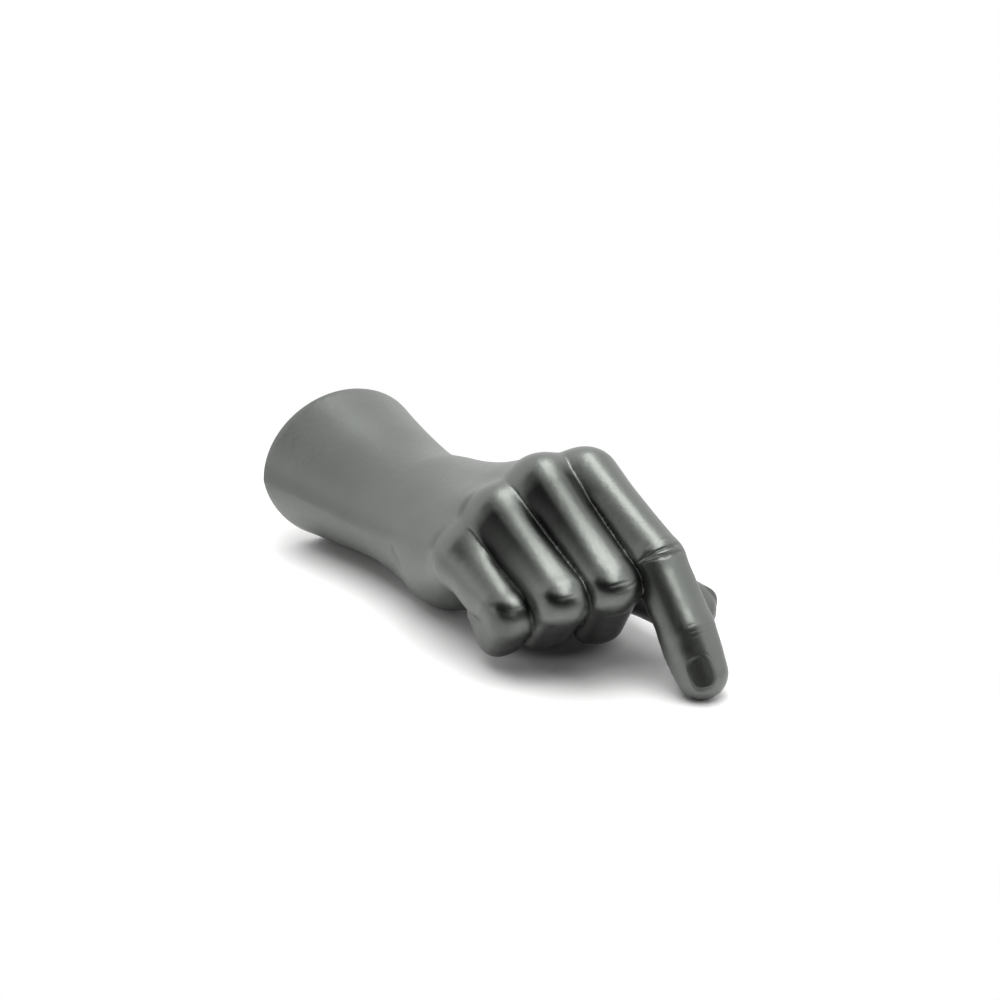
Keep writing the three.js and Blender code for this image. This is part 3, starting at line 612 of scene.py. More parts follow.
# %% Fold paths
# Finger, joint, places along and across the finger, depth and width
FOLDS = [
    ("index", 1, [(0.0, -9.4), (0.2, -6), (0.5, -2), (0.4, 3), (-0.3, 7)], 0.75, 0.55),
    ("index", 1, [(1.0, -9), (2.4, -5.5), (3.7, -1), (3.4, 4), (2.6, 7)], 0.6, 0.55),
    ("index", 1, [(0.9, -8), (1.5, -4), (2.0, 1), (1.4, 6)], -0.35, 0.6),
    ("index", 1, [(-3.2, -6.5), (-3.0, -1), (-3.0, 5)], 0.16, 0.8),
    ("index", 2, [(-0.8, -7), (-0.2, -3), (-0.2, 2), (-0.7, 5)], 0.05, 0.5),
    ("index", 2, [(1.6, -7), (2.1, -3), (2.1, 2), (1.5, 5)], 0.06, 0.5),
    ("index", 2, [(3.4, -6.5), (3.9, -3), (3.8, 2), (3.2, 5)], 0.06, 0.5),
    ("middle", 1, [(-2.7, -6.5), (-3.0, -2), (-2.8, 2), (-2.4, 6)], 0.16, 0.6),
    ("middle", 1, [(-0.4, -3), (-0.3, 0), (-1.0, 3.6), (-1.6, 7)], 0.24, 0.55),
    ("ring", 1, [(-3.8, -7), (-3.6, -3), (-3.4, 1), (-3.1, 5)], 0.08, 0.6),
    ("little", 1, [(-4.6, -6.5), (-4.5, -3), (-4.2, 1), (-3.9, 4)], 0.08, 0.6),
]
WRIST_FOLD = np.array([
    (-35.4, -18.6, 27.6), (-36.1, -20.7, 25.1), (-36.3, -23.7, 21.6), (-35.2, -25.0, 16.4),
])
WRIST_FOLD_DEPTH, WRIST_FOLD_WIDTH = 0.5, 1.3


def fold_path(finger, joint, places):
    """Points (along, across) round a joint, put at the bone's radius above it and slid onto the skin."""
    k = skeletons[finger]
    axis = unit(k["along"][joint - 1] + k["along"][joint])
    out = unit(k["outer"][joint - 1] + k["outer"][joint])
    along, across = np.array(places, float).T
    lift = np.sqrt(k["radii"][joint] ** 2 - across ** 2)
    path = k["joints"][joint] + np.outer(along, axis) + np.outer(across, k["across"]) + np.outer(lift, out)
    return settle(settle(path))


folds = [(fold_path(*place), depth, width) for *place, depth, width in FOLDS]
folds.append((settle(WRIST_FOLD), WRIST_FOLD_DEPTH, WRIST_FOLD_WIDTH))
print("folds:", len(folds))

# %% Nails
NAIL_BACK, NAIL_ROLL, INDEX_NAIL_SIZE = 3.4, np.radians(28.0), (13.0, 10.0)
THUMB_NAIL_LEAN, THUMB_NAIL_SIZE, THUMB_NAIL_HEIGHT = 0.5, (13.5, 13.0), 0.95

index = skeletons["index"]
index_face = index["outer"][2] * np.cos(NAIL_ROLL) - index["across"] * np.sin(NAIL_ROLL)
thumb_along = unit(thumb_joints[3] - thumb_joints[2])
thumb_face = unit(np.cross(thumb_along, np.cross(side + THUMB_NAIL_LEAN * back, thumb_along)))
nails = [
    dict(tip=index["joints"][3], along=index["along"][2], face=index_face, size=INDEX_NAIL_SIZE,
         radius=index["radii"][3]),
    dict(tip=thumb_joints[3] + thumb_along * thumb_radii[3], along=thumb_along, face=thumb_face,
         size=THUMB_NAIL_SIZE, radius=thumb_radii[3] * THUMB_NAIL_HEIGHT),
]


def nail_place(points, nail):
    """Lengths along, across and out of a nail, counted from the fingertip, and a number that is 1 on the
    outline of the nail: the cube root of the sum of the cubed shares of the half lengths."""
    q = points - nail["tip"]
    along, across = q @ nail["along"], q @ np.cross(nail["face"], nail["along"])
    half_length, half_width = np.array(nail["size"]) / 2
    shares = np.abs([(along + NAIL_BACK + half_length) / half_length, across / half_width])
    return along, across, q @ nail["face"], (shares ** 3).sum(axis=0) ** (1 / 3)


print("nails of", [nail["size"] for nail in nails], "mm")

# %% [markdown]
# A finer mesh there
#
# The folds are half a millimetre wide, narrower than a grid cell. So the faces near them are split: every
# edge with both ends near a fold or a nail gets a vertex in its middle, twice over. A triangle with one,
# two or three split edges becomes two, three or four triangles, so the mesh stays closed.

# %% Near a fold or a nail
# The heights over the bone are shares of the radius
FOLD_REACH, NAIL_NEAR, NAIL_HEIGHTS = 2.2, 1.3, (1 / 3, 1.4)


def along_path(points, path):
    """Distance to the nearest stretch of a path, and the share of the path's stretches at that place."""
    step = path[1:] - path[:-1]
    q = points[:, None] - path[:-1]
    t = np.clip((q * step).sum(axis=2) / (step ** 2).sum(axis=1), 0, 1)
    gap = np.linalg.norm(q - t[:, :, None] * step, axis=2)
    nearest = gap.argmin(axis=1)[:, None]
    share = (nearest + np.take_along_axis(t, nearest, 1)) / len(step)
    return gap.min(axis=1), share[:, 0]


def near_details(points):
    """True for the points near a fold or a nail."""
    near = np.min([along_path(points, path)[0] for path, _, _ in folds], axis=0) < FOLD_REACH
    for nail in nails:
        _, _, height, outline = nail_place(points, nail)
        lowest, highest = nail["radius"] * np.array(NAIL_HEIGHTS)
        near |= (outline < NAIL_NEAR) & (height > lowest) & (height < highest)
    return near


print("vertices near a fold or a nail:", near_details(skin).sum())

# %% Finer triangles there
# Corners 0 to 2 and middles of the edges 3 to 5, for each pattern of split edges
SPLITS = {
    0: [(0, 1, 2)],
    1: [(0, 3, 2), (3, 1, 2)],
    2: [(0, 1, 4), (0, 4, 2)],
    4: [(0, 1, 5), (5, 1, 2)],
    3: [(3, 1, 4), (0, 3, 4), (0, 4, 2)],
    6: [(4, 2, 5), (0, 1, 4), (0, 4, 5)],
    5: [(0, 3, 5), (3, 1, 2), (3, 2, 5)],
    7: [(0, 3, 5), (3, 1, 4), (4, 2, 5), (3, 4, 5)],
}
SPLIT_ROUNDS = 2


def split_near(points, triangles):
    """Splits the edges with both ends near a detail, and slides the new vertices onto the skin."""
    pairs = np.sort(triangles[:, [[0, 1], [1, 2], [2, 0]]], axis=2).reshape(-1, 2)
    edges, number = np.unique(pairs, axis=0, return_inverse=True)
    split = near_details(points)[edges].all(axis=1)
    middle = np.where(split, len(points) + np.cumsum(split) - 1, -1)
    six = np.column_stack([triangles, middle[number].reshape(-1, 3)])
    pattern = (six[:, 3:] >= 0) @ (1, 2, 4)
    made = [six[pattern == code][:, corners].reshape(-1, 3) for code, corners in SPLITS.items()]
    return np.vstack([points, settle(points[edges[split]].mean(axis=1))]), np.vstack(made)


diagonals = np.linalg.norm(skin[faces[:, :2]] - skin[faces[:, 2:]], axis=2)
turned = np.where(diagonals[:, :1] > diagonals[:, 1:], np.roll(faces, -1, axis=1), faces)
triangles = np.vstack([turned[:, [0, 1, 2]], turned[:, [0, 2, 3]]])
for _ in range(SPLIT_ROUNDS):
    skin, triangles = split_near(skin, triangles)
_, slope = slope_of(skin)
normals = slope / np.linalg.norm(slope, axis=1)[:, None]
print("skin with details:", len(skin), "vertices,", len(triangles), "triangles")

# %% [markdown]
# Pressing them in
#
# A fold is a groove with a bell-shaped section that fades out at its ends, and the lip between the two
# folds of the index finger is the same with its sign turned. A nail is a plate that is flatter than the
# finger, leans a little towards the tip and has a groove round it.

# %% Folds and nails
NAIL_CURVE, NAIL_TILT, NAIL_SINK, NAIL_SOFT = 12.0, 0.02, 0.16, 0.22
NAIL_GROOVE, GROOVE_AT, GROOVE_WIDTH = 0.04, 1.04, 0.05
NAIL_FACING, NAIL_DEEPEST = 0.2, 4.0

for path, depth, width in folds:
    gap, share = along_path(skin, path)
    skin = skin - normals * (depth * (1 - (2 * share - 1) ** 4) * np.exp(-(gap / width) ** 2))[:, None]
for nail in nails:
    along, across, height, outline = nail_place(skin, nail)
    from_root = along + NAIL_BACK + nail["size"][0]
    plate = nail["radius"] - NAIL_SINK - across ** 2 / (2 * NAIL_CURVE) - NAIL_TILT * from_root
    facing = (normals @ nail["face"] > NAIL_FACING) & (np.abs(height - plate) < NAIL_DEEPEST)
    inside = np.clip((1 - outline) / NAIL_SOFT, 0, 1)
    press = inside * (plate - height) - NAIL_GROOVE * np.exp(-((outline - GROOVE_AT) / GROOVE_WIDTH) ** 2)
    skin = skin + np.outer(np.where(facing, press, 0), nail["face"])
print("largest change of height:", np.abs(hand(skin)).max().round(2), "mm")

# %% [markdown]
# Painted shade in the valleys
#
# Shade and dark reflections are painted into the colour of the lacquer. Painted shade lies on the flanks of
# the fingers that face another finger, from the knuckle to halfway along the first bone, under the curled
# fingers and deep in the valleys between them. A painted dark reflection lies in the folds over the bent
# joints, on the nails and on the skin before them. The two fingers in the middle get more of it than the
# outer ones. It could be painted by hand, but then it would not follow a change of the fingers. Here, on a
# finger, the amount of painted shade is a table along the bone times a step in the angle round it, counted
# from the back of the finger and positive towards the thumb. Where two rules meet, the larger amount holds.

# %% Painted shade on the backs of the fingers
# Angles at which the painted shade begins and is full, towards the little finger and then towards the thumb
PAINTED_SHADE_FLANKS = {
    "index": (-42, -60, 180, 181), "middle": (-17, -32, 12, 30), "ring": (-17, -32, 10, 26),
    "little": (-180, -181, 10, 26),
}
# Amounts over the share of the first bone, on its flanks and on its ridge
PAINTED_SHADE_ALONG = {-0.02: 0.0, 0.12: 1.0, 0.45: 0.9, 0.8: 0.4, 1.0: 0.0}
PAINTED_SHADE_RIDGE = {0.0: 0.0, 0.15: 0.5, 0.45: 0.38, 0.8: 0.0}
FINGERS_WITH_SHADED_RIDGES = ("middle", "ring")
# Distances off a finger over which its painted shade fades out
PAINTED_SHADE_FADE = (1.0, 2.0)


def look_up(table, places):
    """Values of a table at any places, on straight lines between its entries."""
    return np.interp(places, list(table), list(table.values()))


def finger_painted_shade(points, name):
    """Painted shade on one finger: the share along the first bone and the angle round it, looked up and
    multiplied.
    """
    k = skeletons[name]
    q = points - k["joints"][0]
    share = q @ k["along"][0] / FINGERS[name]["bones"][0]
    angle = np.degrees(np.arctan2(q @ k["across"], q @ k["outer"][0]))
    left, left_full, right, right_full = PAINTED_SHADE_FLANKS[name]
    flank = np.interp(angle, (left_full, left, right, right_full), (1, 0, 0, 1))
    return np.maximum(flank * look_up(PAINTED_SHADE_ALONG, share), look_up(PAINTED_SHADE_RIDGE, share) * (name in FINGERS_WITH_SHADED_RIDGES))


gaps = np.array([base(skin) for base, _ in fingers])
on_fingers = np.array([finger_painted_shade(skin, name) for name in FINGERS])
painted_shade = np.take_along_axis(on_fingers, gaps.argmin(axis=0)[None], 0)[0]
painted_shade *= np.interp(gaps.min(axis=0), PAINTED_SHADE_FADE, (1, 0))
print("waxed part of the skin:", (painted_shade > 0.5).mean().round(3))

# %% Painted dark reflections on the nails and the bent joints
# Amount and soft edge of the patch on each nail, and amount, size and soft edge of the streak before it
NAIL_PAINTED_REFLECTION, NAIL_PAINTED_REFLECTION_EDGE = 0.5, (0.9, 1.04)
STREAK_PAINTED_REFLECTION, STREAK_SIZE, STREAK_PAINTED_REFLECTION_EDGE = 0.5, (25.0, 8.4), (0.7, 1.1)
# Heights over the bone between which a patch lies, as shares of the radius
PAINTED_PATCH_HEIGHTS = (0.5, 1.4)
# Middle of the spot on each bent joint, along and across it
PAINTED_REFLECTION_JOINTS = {"middle": (-2.6, -3.8), "ring": (-3.1, -3.6), "little": (-4.7, -3.9)}
PAINTED_REFLECTION_SPOT, PAINTED_REFLECTION_SLANT, PAINTED_REFLECTION_MOST = (2.2, 4.8), 0.42, 0.9

# A darker patch on each nail and a streak before the index nail are a painted dark reflection.
patches = [(nail, NAIL_PAINTED_REFLECTION, NAIL_PAINTED_REFLECTION_EDGE) for nail in nails]
patches.append((dict(nails[0], size=STREAK_SIZE), STREAK_PAINTED_REFLECTION, STREAK_PAINTED_REFLECTION_EDGE))
for patch, most, edge in patches:
    _, _, height, outline = nail_place(skin, patch)
    lowest, highest = patch["radius"] * np.array(PAINTED_PATCH_HEIGHTS)
    on_top = (height > lowest) & (height < highest)
    painted_shade = np.maximum(painted_shade, most * on_top * np.interp(outline, edge, (1, 0)))
# A dark spot over each bent joint of the curled fingers is a painted dark reflection.
for name, (along, across) in PAINTED_REFLECTION_JOINTS.items():
    k = skeletons[name]
    q = skin - k["joints"][1]
    sideways = q @ k["across"] - across
    lengthways = q @ unit(k["along"][0] + k["along"][1]) - along - PAINTED_REFLECTION_SLANT * sideways
    spot = (lengthways / PAINTED_REFLECTION_SPOT[0]) ** 2 + (sideways / PAINTED_REFLECTION_SPOT[1]) ** 2
    outside = q @ (k["outer"][0] + k["outer"][1]) > 0
    painted_shade = np.maximum(painted_shade, PAINTED_REFLECTION_MOST * np.exp(-spot ** 2) * outside)
print("waxed part of the skin:", (painted_shade > 0.5).mean().round(3))

# %% Painted shade under the curled fingers and between them
PAINTED_SHADE_UNDER, PAINTED_SHADE_DOWNWARDS = {"middle": 1.0, "ring": 1.0, "little": 0.6}, (0.28, 0.6)
# Which side of the curled end, 1 towards the thumb, and the amount
PAINTED_SHADE_SIDES, PAINTED_SHADE_SIDEWAYS = {"middle": (1, 0.85), "little": (-1, 0.3)}, (0.15, 0.55)
# Amounts over the distance to the next finger
PAINTED_SHADE_VALLEY = {0.7: 0.95, 1.7: 0.0}

outer_gaps = {name: outer_bones(skin) for name, (_, outer_bones) in zip(FINGERS, fingers)}
on_end = {name: np.interp(gap, PAINTED_SHADE_FADE, (1, 0)) for name, gap in outer_gaps.items()}
# Painted shade on the undersides and inner sides of the curled fingers, and deep in the valleys between
# fingers.
for name, most in PAINTED_SHADE_UNDER.items():
    painted_shade = np.maximum(painted_shade, on_end[name] * np.interp(-normals[:, 2], PAINTED_SHADE_DOWNWARDS, (0, most)))
for name, (way, most) in PAINTED_SHADE_SIDES.items():
    facing = way * normals @ skeletons[name]["across"]
    painted_shade = np.maximum(painted_shade, on_end[name] * np.interp(facing, PAINTED_SHADE_SIDEWAYS, (0, most)))
to_next = np.sort(np.minimum(gaps, list(outer_gaps.values())), axis=0)[1]
painted_shade = np.maximum(painted_shade, look_up(PAINTED_SHADE_VALLEY, to_next))
print("waxed part of the skin:", (painted_shade > 0.5).mean().round(3))

# %% [markdown]
# Flat spots
#
# The casting is ground flat where it lies on the table, under the forearm and the heel, and the felt
# pads there stand a quarter of a millimetre proud. The fingertip touches the table itself. A Boolean cut
# would give the same flats. Lifting the few vertices that lie too low leaves the mesh as it is.

# %% Ground underside
PAD_PROUD, TIP_ZONE = 0.25, 20.0

floor_height = np.where(skin[:, 1] < skeletons["index"]["tip"][1] + TIP_ZONE, 0.0, PAD_PROUD)
print("vertices ground flat:", (skin[:, 2] < floor_height).sum())
skin[:, 2] = np.maximum(skin[:, 2], floor_height)

# %% [markdown]
# The cut end
#
# Behind the rim the skin turns over a small rounded edge into the flat end face. The face stops at the
# seat of the plug, an oval step that the plug of the solid model fills. A Boolean cut and a Bevel would do
# it too, with long thin faces at the edge. Here each ring is the rim again, moved inwards: a profile
# carried round a closed path.

# %% Rounded edge, end face and plug seat
PLUG_RIM, PLUG_THICKNESS, CLEARANCE, EDGE_STEPS = 4.0, 6.0, 0.3, 4


def ring_faces(numbers):
    """Four-sided faces between rows of vertex numbers, each row a closed ring."""
    after = np.roll(numbers, -1, axis=1)
    return np.stack([numbers[:-1], numbers[1:], after[1:], after[:-1]], axis=-1).reshape(-1, 4)


height, half_width, half_height = END_SECTION
angle = np.arctan2((skin[rim, 2] - height) / half_height, (skin[rim, 0] - FOREARM_X) / half_width)
rim = rim[np.argsort(angle)]
angle = np.sort(angle)
inwards = -normals[rim] * (1, 0, 1)
inwards /= np.linalg.norm(inwards, axis=1)[:, None]
rings = []
for turn in np.linspace(0, np.pi / 2, EDGE_STEPS + 1)[1:]:
    rings.append(skin[rim] + inwards * EDGE_ROUND * (1 - np.cos(turn)) + (0, EDGE_ROUND * np.sin(turn), 0))
for y in (FOREARM_LENGTH, FOREARM_LENGTH - PLUG_THICKNESS - CLEARANCE):
    rings.append(np.column_stack([
        FOREARM_X + (half_width - PLUG_RIM) * np.cos(angle),
        np.full(len(rim), y),
        height + (half_height - PLUG_RIM) * np.sin(angle),
    ]))
ring_numbers = np.vstack([rim, len(skin) + np.arange(len(rings) * len(rim)).reshape(len(rings), -1)])
end_faces = ring_faces(ring_numbers)
seat_floor = ring_numbers[-1]
points = np.vstack([skin, *rings])
print("end face:", len(end_faces), "faces")

# %% Put the casting into Blender
plug_low, plug_high = np.array(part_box("wrist_plug")) / MM
to_model = np.array([(plug_low[0] + plug_high[0]) / 2 - FOREARM_X, plug_high[1] - FOREARM_LENGTH, 0.0])


def piece_from(name, points, faces, body="root"):
    """A mesh object from points in millimetres in the hand's frame: shifted into the frame of the solid
    model, in metres, smooth shaded, riding on a body."""
    mesh = bpy.data.meshes.new(name)
    mesh.from_pydata((points + to_model) * MM, [], faces)
    mesh.validate()
    mesh.shade_smooth()
    piece = add_object(name, mesh)
    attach(piece, body)
    print(name, "has", sum(len(p.vertices) - 2 for p in mesh.polygons), "triangles")
    return piece


def give_amounts(mesh, name, amounts):
    """An amount for each vertex, kept with the mesh under a name that a material can read."""
    mesh.attributes.new(name, "FLOAT", "POINT").data.foreach_set("value", amounts.astype(np.float32))


hand_skin = piece_from("hand_skin", points, [*triangles.tolist(), *end_faces.tolist(), seat_floor.tolist()])
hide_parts("hand_casting")
# The painted shade is kept on the skin as an amount on each vertex.
give_amounts(hand_skin.data, "painted_shade", np.concatenate([painted_shade, np.zeros(len(points) - len(painted_shade))]))

# %% [markdown]
# The finish
#
# The photographed hand has one coat of satin graphite lacquer over everything. It behaves like a dark
# metal: it has hardly any colour of its own and shows its surroundings softly. A very fine grain in the
# roughness stands for the metal powder, a faint mottled relief for the rubbing by hand, and a slow change in
# the tone for the sprayed coat. A photographed surface could be wrapped round the hand instead, but it would
# bring the light of its own studio with it, so all of this is noise on the object's coordinates.

# %% Shader nodes
def new_finish(name, color, metallic, roughness):
    """A material with a Principled shader, its constant values set on the shader itself."""
    material = bpy.data.materials.new(name)
    material.use_nodes = True
    shader = material.node_tree.nodes["Principled BSDF"]
    shader.inputs["Base Color"].default_value = (*color, 1)
    shader.inputs["Metallic"].default_value = metallic
    shader.inputs["Roughness"].default_value = roughness
    return material, material.node_tree, shader


def node(tree, kind, inputs, **settings):
    """A shader node with its settings. Each input is linked to another node's output or set to a value."""
    made = tree.nodes.new("ShaderNode" + kind)
    for setting, value in settings.items():
        setattr(made, setting, value)
    for socket, value in inputs.items():
        if isinstance(value, bpy.types.NodeSocket):
            tree.links.new(value, made.inputs[socket])
        else:
            made.inputs[socket].default_value = value
    return made


def grain(tree, scale, detail, noise_range=(0.3, 0.7), low=0.0, high=1.0):
    """Noise on object coordinates, spread from its own range to low and high."""
    place = node(tree, "TexCoord", {}).outputs["Object"]
    noise = node(tree, "TexNoise", {"Vector": place, "Scale": scale, "Detail": detail}).outputs["Fac"]
    spread = dict(zip(("From Min", "From Max", "To Min", "To Max"), (*noise_range, low, high)))
    return node(tree, "MapRange", {"Value": noise, **spread}).outputs["Result"]


def tone(tree, factor, dark, light):
    """A colour that runs from dark to light with the factor."""
    ramp = node(tree, "ValToRGB", {"Fac": factor})
    for element, color in zip(ramp.color_ramp.elements, (dark, light)):
        element.color = (*color, 1)
    return ramp.outputs["Color"]


def bump(tree, scale, detail, depth_mm, strength):
    """Small relief from noise, that many millimetres deep."""
    height = grain(tree, scale, detail, noise_range=(0.25, 0.75))
    relief = {"Height": height, "Distance": depth_mm * MM, "Strength": strength}
    return node(tree, "Bump", relief).outputs["Normal"]


def connect(tree, shader, **outputs):
    """Links outputs to the inputs of a shader that are named like them, with _ for a space."""
    for name, output in outputs.items():
        tree.links.new(output, shader.inputs[name.replace("_", " ")])


# %% Graphite lacquer
GRAPHITE, GRAPHITE_DARK, GRAPHITE_LIGHT = (0.145, 0.153, 0.143), (0.137, 0.145, 0.136), (0.151, 0.16, 0.15)
PAINTED_SHADE_TONE = 0.14

lacquer, tree, shader = new_finish("graphite_lacquer", GRAPHITE, metallic=1.0, roughness=0.38)
sprayed = tone(tree, grain(tree, scale=38.0, detail=3.0), GRAPHITE_DARK, GRAPHITE_LIGHT)
# The painted shade darkens the sprayed colour, down to a small share of it where the amount is full.
amount = node(tree, "Attribute", {}, attribute_name="painted_shade").outputs["Fac"]
kept = node(tree, "MapRange", {"Value": amount, "To Min": 1.0, "To Max": PAINTED_SHADE_TONE}).outputs["Result"]
painted_dark = node(tree, "VectorMath", {0: sprayed, "Scale": kept}, operation="SCALE").outputs["Vector"]
powder = grain(tree, scale=900.0, detail=2.0, low=0.35, high=0.41)
mottle = bump(tree, scale=380.0, detail=3.0, depth_mm=0.08, strength=0.6)
connect(tree, shader, Base_Color=painted_dark, Roughness=powder, Normal=mottle)
hand_skin.data.materials.append(lacquer)
print("lacquer on", hand_skin.name, "with", len(tree.nodes), "nodes")

# %% [markdown]
# The pieces that hardly show get simple finishes of the same kind: cast resin for the plug, plaster for the
# weight, drawn steel for the rod and felt for the pads. They keep the meshes of the solid model.

# %% Resin, plaster, steel and felt
resin, tree, shader = new_finish("plug_resin", (0.05, 0.052, 0.05), metallic=0.0, roughness=0.55)
cast = tone(tree, grain(tree, scale=60.0, detail=4.0), (0.040, 0.042, 0.041), (0.062, 0.064, 0.062))
pores = bump(tree, scale=700.0, detail=3.0, depth_mm=0.05, strength=0.4)
connect(tree, shader, Base_Color=cast, Normal=pores)

plaster, tree, shader = new_finish("ballast_plaster", (0.62, 0.59, 0.52), metallic=0.0, roughness=0.9)
poured = tone(tree, grain(tree, scale=90.0, detail=5.0), (0.55, 0.52, 0.46), (0.68, 0.65, 0.58))
connect(tree, shader, Base_Color=poured)

steel, tree, shader = new_finish("rod_steel", (0.56, 0.57, 0.58), metallic=1.0, roughness=0.35)
connect(tree, shader, Roughness=grain(tree, scale=800.0, detail=2.0, low=0.28, high=0.42))

felt, tree, shader = new_finish("pad_felt", (0.02, 0.021, 0.022), metallic=0.0, roughness=0.95)
wool = tone(tree, grain(tree, scale=1500.0, detail=4.0), (0.012, 0.012, 0.013), (0.034, 0.035, 0.037))
nap = bump(tree, scale=1800.0, detail=3.0, depth_mm=0.15, strength=0.8)
connect(tree, shader, Base_Color=wool, Normal=nap)

finishes = {
    "wrist_plug": resin, "ballast_fill": plaster, "finger_rod": steel, "forearm_pad": felt, "heel_pad": felt,
}
for piece_name, finish in finishes.items():
    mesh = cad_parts[piece_name].data
    mesh.materials.clear()
    mesh.materials.append(finish)
print("finishes:", sorted(m.name for m in bpy.data.materials))

# %% [markdown]
# The studio
#
# The picture was taken in a white tent on a white table. The lacquer mirrors the tent softly, so the tent
# can be read off the hand: grey flanks show white walls, the bright bands along the fingers show a long
# lamp overhead, and the dark patches where a joint faces the camera show the opening that the camera looks
# through. The floor comes first. It is white paper that keeps the shadow near the hand and turns into pure
# white further out, sooner beside the hand than in front of it, because the hand is long and narrow.
# Below the curled fingers an oval of the paper is darker, since the walls of this tent send more light in
# under the hand than those of the real one.

# %% Paper
PAPER, PAPER_ROUGHNESS = (0.95, 0.95, 0.945), 0.8
FLOOR_FADE, FLOOR_SQUEEZE = (0.12, 0.264), (1.9, 1.0, 1.0)
SHADE_PLACE, SHADE_SIZE, SHADE_TURN = (0.0017, -0.0307, 0.0), (0.028, 0.026, 1.0), np.radians(-35.3)
SHADE_EDGE, SHADE_LEFT = (0.45, 1.0), 0.07


def length_step(tree, vector, edge, low=0.0):
    """A smooth step from low to 1 while the length of a vector grows over its edge."""
    length = node(tree, "VectorMath", {0: vector}, operation="LENGTH").outputs["Value"]
    step = {"Value": length, "From Min": edge[0], "From Max": edge[1], "To Min": low}
    return node(tree, "MapRange", step, interpolation_type="SMOOTHSTEP").outputs["Result"]


paper, tree, shader = new_finish("white_paper", PAPER, metallic=0.0, roughness=PAPER_ROUGHNESS)
place = node(tree, "TexCoord", {}).outputs["Object"]
oval = {"Vector": place, "Location": SHADE_PLACE, "Rotation": (0, 0, SHADE_TURN), "Scale": SHADE_SIZE}
in_oval = node(tree, "Mapping", oval, vector_type="TEXTURE").outputs["Vector"]
lit = length_step(tree, in_oval, SHADE_EDGE, SHADE_LEFT)
shaded = node(tree, "VectorMath", {0: PAPER, "Scale": lit}, operation="SCALE").outputs["Vector"]
connect(tree, shader, Base_Color=shaded)
squeezed = node(tree, "VectorMath", {0: place, 1: FLOOR_SQUEEZE}, operation="MULTIPLY").outputs["Vector"]
white = length_step(tree, squeezed, FLOOR_FADE)
glow = node(tree, "Emission", {}).outputs["Emission"]
mix = node(tree, "MixShader", {"Fac": white, 1: shader.outputs["BSDF"], 2: glow}).outputs["Shader"]
tree.links.new(mix, tree.nodes["Material Output"].inputs["Surface"])
print("paper with", len(tree.nodes), "nodes")

# %% Floor
FLOOR_RADIUS, STEPS_ROUND, STEPS_OUT = 12.0, 64, 24


def stage_mesh(name, points, faces, material):
    """A mesh object of the studio, with its material."""
    mesh = bpy.data.meshes.new(name)
    mesh.from_pydata(points, [], faces)
    mesh.materials.append(material)
    return add_object(name, mesh)


turns = np.linspace(0, 2 * np.pi, STEPS_ROUND, endpoint=False)
radii = FLOOR_RADIUS * np.linspace(0, 1, STEPS_OUT + 1)[1:] ** 3
across, ahead = np.outer(radii, np.cos(turns)).ravel(), np.outer(radii, np.sin(turns)).ravel()
floor_points = np.vstack([np.zeros((1, 3)), np.column_stack([across, ahead, np.zeros(len(across))])])
rows = 1 + np.arange(STEPS_OUT * STEPS_ROUND).reshape(STEPS_OUT, STEPS_ROUND)
middle_faces = np.column_stack([np.zeros(STEPS_ROUND, int), rows[0], np.roll(rows[0], -1)])
floor = stage_mesh("floor", floor_points, [*ring_faces(rows).tolist(), *middle_faces.tolist()], paper)
print("floor:", len(floor.data.polygons), "faces")

# %% [markdown]
# The light
#
# A long lamp overhead, turned to lie along the fingers, draws the bright bands. A low strip to the right
# of the camera draws the one on the end of the index finger. Both are seen in the lacquer only. A broad
# lamp overhead does the opposite: it isn't seen in the lacquer, but lights the table and makes the soft
# shadow. The white walls are the world itself, all round. A ready-made picture of a studio could light the
# hand too, but each band would then stay where that picture has it.

# %% Lamps
PANEL_SIZE, PANEL_PLACE, PANEL_TURN, PANEL_POWER = (0.32, 1.38), (0.06, -0.285, 0.8), np.radians(-18.7), 7.6
FILL_SIZE, FILL_PLACE, FILL_POWER = (0.95, 0.95), (-0.23, -0.33, 1.0), 12.5
STRIP_SIZE, STRIP_AWAY, STRIP_POWER = (1.0, 0.2), 1.1, 1.5
STRIP_RISE, STRIP_TURN = np.radians([38.0, 38.0])


def area_lamp(name, size, place, power):
    """A rectangular lamp of a width and a length that shines down."""
    lamp = add_object(name, bpy.data.lights.new(name, "AREA"))
    lamp.data.shape = "RECTANGLE"
    lamp.data.size, lamp.data.size_y = size
    lamp.data.energy = power
    lamp.location = place
    return lamp


def direction(heading, rise):
    """Directions from the hand, stacked along the last axis: so far round from the x axis, so far up."""
    return np.stack([np.cos(rise) * np.cos(heading), np.cos(rise) * np.sin(heading), np.sin(rise)], axis=-1)


camera_heading = np.arctan2(CAMERA_AT.y - CAMERA_AIM.y, CAMERA_AT.x - CAMERA_AIM.x)
panel = area_lamp("top_panel", PANEL_SIZE, PANEL_PLACE, PANEL_POWER)
panel.rotation_euler = (0, 0, PANEL_TURN)
panel.visible_diffuse = False
fill = area_lamp("top_fill", FILL_SIZE, FILL_PLACE, FILL_POWER)
fill.visible_glossy = False
strip_place = STRIP_AWAY * Vector(direction(camera_heading + STRIP_TURN, STRIP_RISE))
strip = area_lamp("front_strip", STRIP_SIZE, strip_place, STRIP_POWER)
strip.rotation_euler = (-strip_place).to_track_quat("-Z", "Y").to_euler()
strip.visible_diffuse = False
print("panel of", PANEL_SIZE, "m at", PANEL_PLACE, "m")

# %% White walls
WALL_LIGHT = 1.35

world = bpy.data.worlds.new("white_sweep")
bpy.context.scene.world = world
world.use_nodes = True
walls = world.node_tree.nodes["Background"]
walls.inputs["Color"].default_value = (1, 1, 1, 1)
walls.inputs["Strength"].default_value = WALL_LIGHT
print("walls shine", WALL_LIGHT, "times as bright as white")
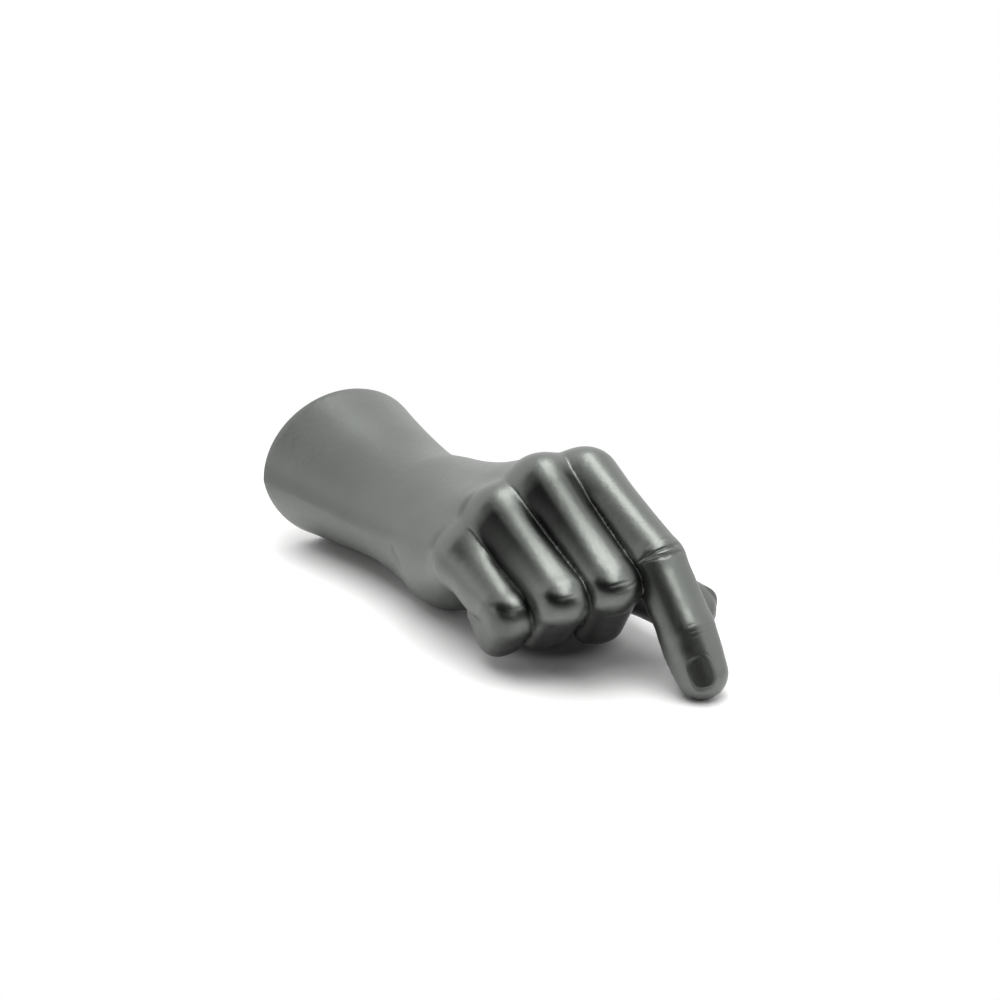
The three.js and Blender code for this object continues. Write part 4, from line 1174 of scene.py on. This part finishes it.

# %% [markdown]
# The dark part of the tent
#
# The top of the tent is dark cloth that gets paler towards the zenith and along its hem, and comes down in
# front as the opening for the camera. It is a part of a sphere. Its lower edge follows a table of heights
# in degrees over the headings, which count from the camera and are positive to its left. On the table
# before the opening lies a dark apron: painted shade of the table there, which only the lacquer sees. The
# dark part could be painted into the world's background as well. As a mesh, it has an edge that is easy to
# follow and to change.

# %% Dark tent top and door
DARK_CLOTH, PALE_CLOTH = (0.03, 0.03, 0.031), (0.95, 0.95, 0.94)
TENT_RADIUS, TENT_TURNS, TENT_ROWS = 2.5, 72, 24
TENT_PALE = (50, 76)
HEM_WIDTH, HEM_PALE, HEM_FROM = 18.0, 0.6, (5, 25)
TENT_EDGE = {
    -180: 62, -120: 54, -82: 50, -72: 46, -60: 34, -50: 16, -42: 2, -36: -4,
    42: -4, 52: 6, 64: 13, 76: 26, 86: 44, 95: 58, 105: 64, 180: 62,
}

turns, shares = np.meshgrid(
    np.linspace(-180, 180, TENT_TURNS, endpoint=False), np.linspace(0, 1, TENT_ROWS, endpoint=False)
)
lowest = look_up(TENT_EDGE, -turns)
height = lowest + (90 - lowest) * shares
hem = np.clip(1 - (height - lowest) / HEM_WIDTH, 0, 1) * np.interp(lowest, HEM_FROM, (0, HEM_PALE))
pale = np.maximum(np.interp(height, TENT_PALE, (0, 1)), hem)
tent_points = TENT_RADIUS * direction(camera_heading + np.radians(turns), np.radians(height))
numbers = np.arange(turns.size).reshape(turns.shape)
tent_faces = [*ring_faces(numbers)[:, ::-1].tolist(), numbers[-1].tolist()]

cloth, tree, shader = new_finish("dark_cloth", DARK_CLOTH, metallic=0.0, roughness=1.0)
paleness = node(tree, "Attribute", {}, attribute_name="pale").outputs["Fac"]
connect(tree, shader, Base_Color=tone(tree, paleness, DARK_CLOTH, PALE_CLOTH))
tent = stage_mesh("dark_tent_top", tent_points.reshape(-1, 3), tent_faces, cloth)
give_amounts(tent.data, "pale", pale.ravel())
tent.visible_camera = False
print("dark tent top:", len(tent_faces), "faces")

# %% Dark apron on the table
APRON_FROM, APRON_TO, APRON_INNER, APRON_HEIGHT, APRON_STEPS = -62, 75, 0.33, 0.002, 24

apron_turns = np.radians(np.linspace(APRON_FROM, APRON_TO, APRON_STEPS))
arc = direction(camera_heading + apron_turns, np.zeros(APRON_STEPS))
apron_points = np.vstack([APRON_INNER * arc, TENT_RADIUS * arc]) + (0, 0, APRON_HEIGHT)
apron_faces = np.arange(APRON_STEPS - 1)[:, None] + (0, APRON_STEPS, APRON_STEPS + 1, 1)
# The apron is painted shade: a dark sheet on the table, seen only in the reflections of the lacquer.
painted_table_shade, _, _ = new_finish("painted_table_shade", DARK_CLOTH, metallic=0.0, roughness=1.0)
apron = stage_mesh("table_shade_apron", apron_points, apron_faces.tolist(), painted_table_shade)
apron.visible_camera = apron.visible_diffuse = apron.visible_shadow = False
print("apron:", len(apron_faces), "faces")

bpy.context.scene.view_settings.view_transform = "Standard"
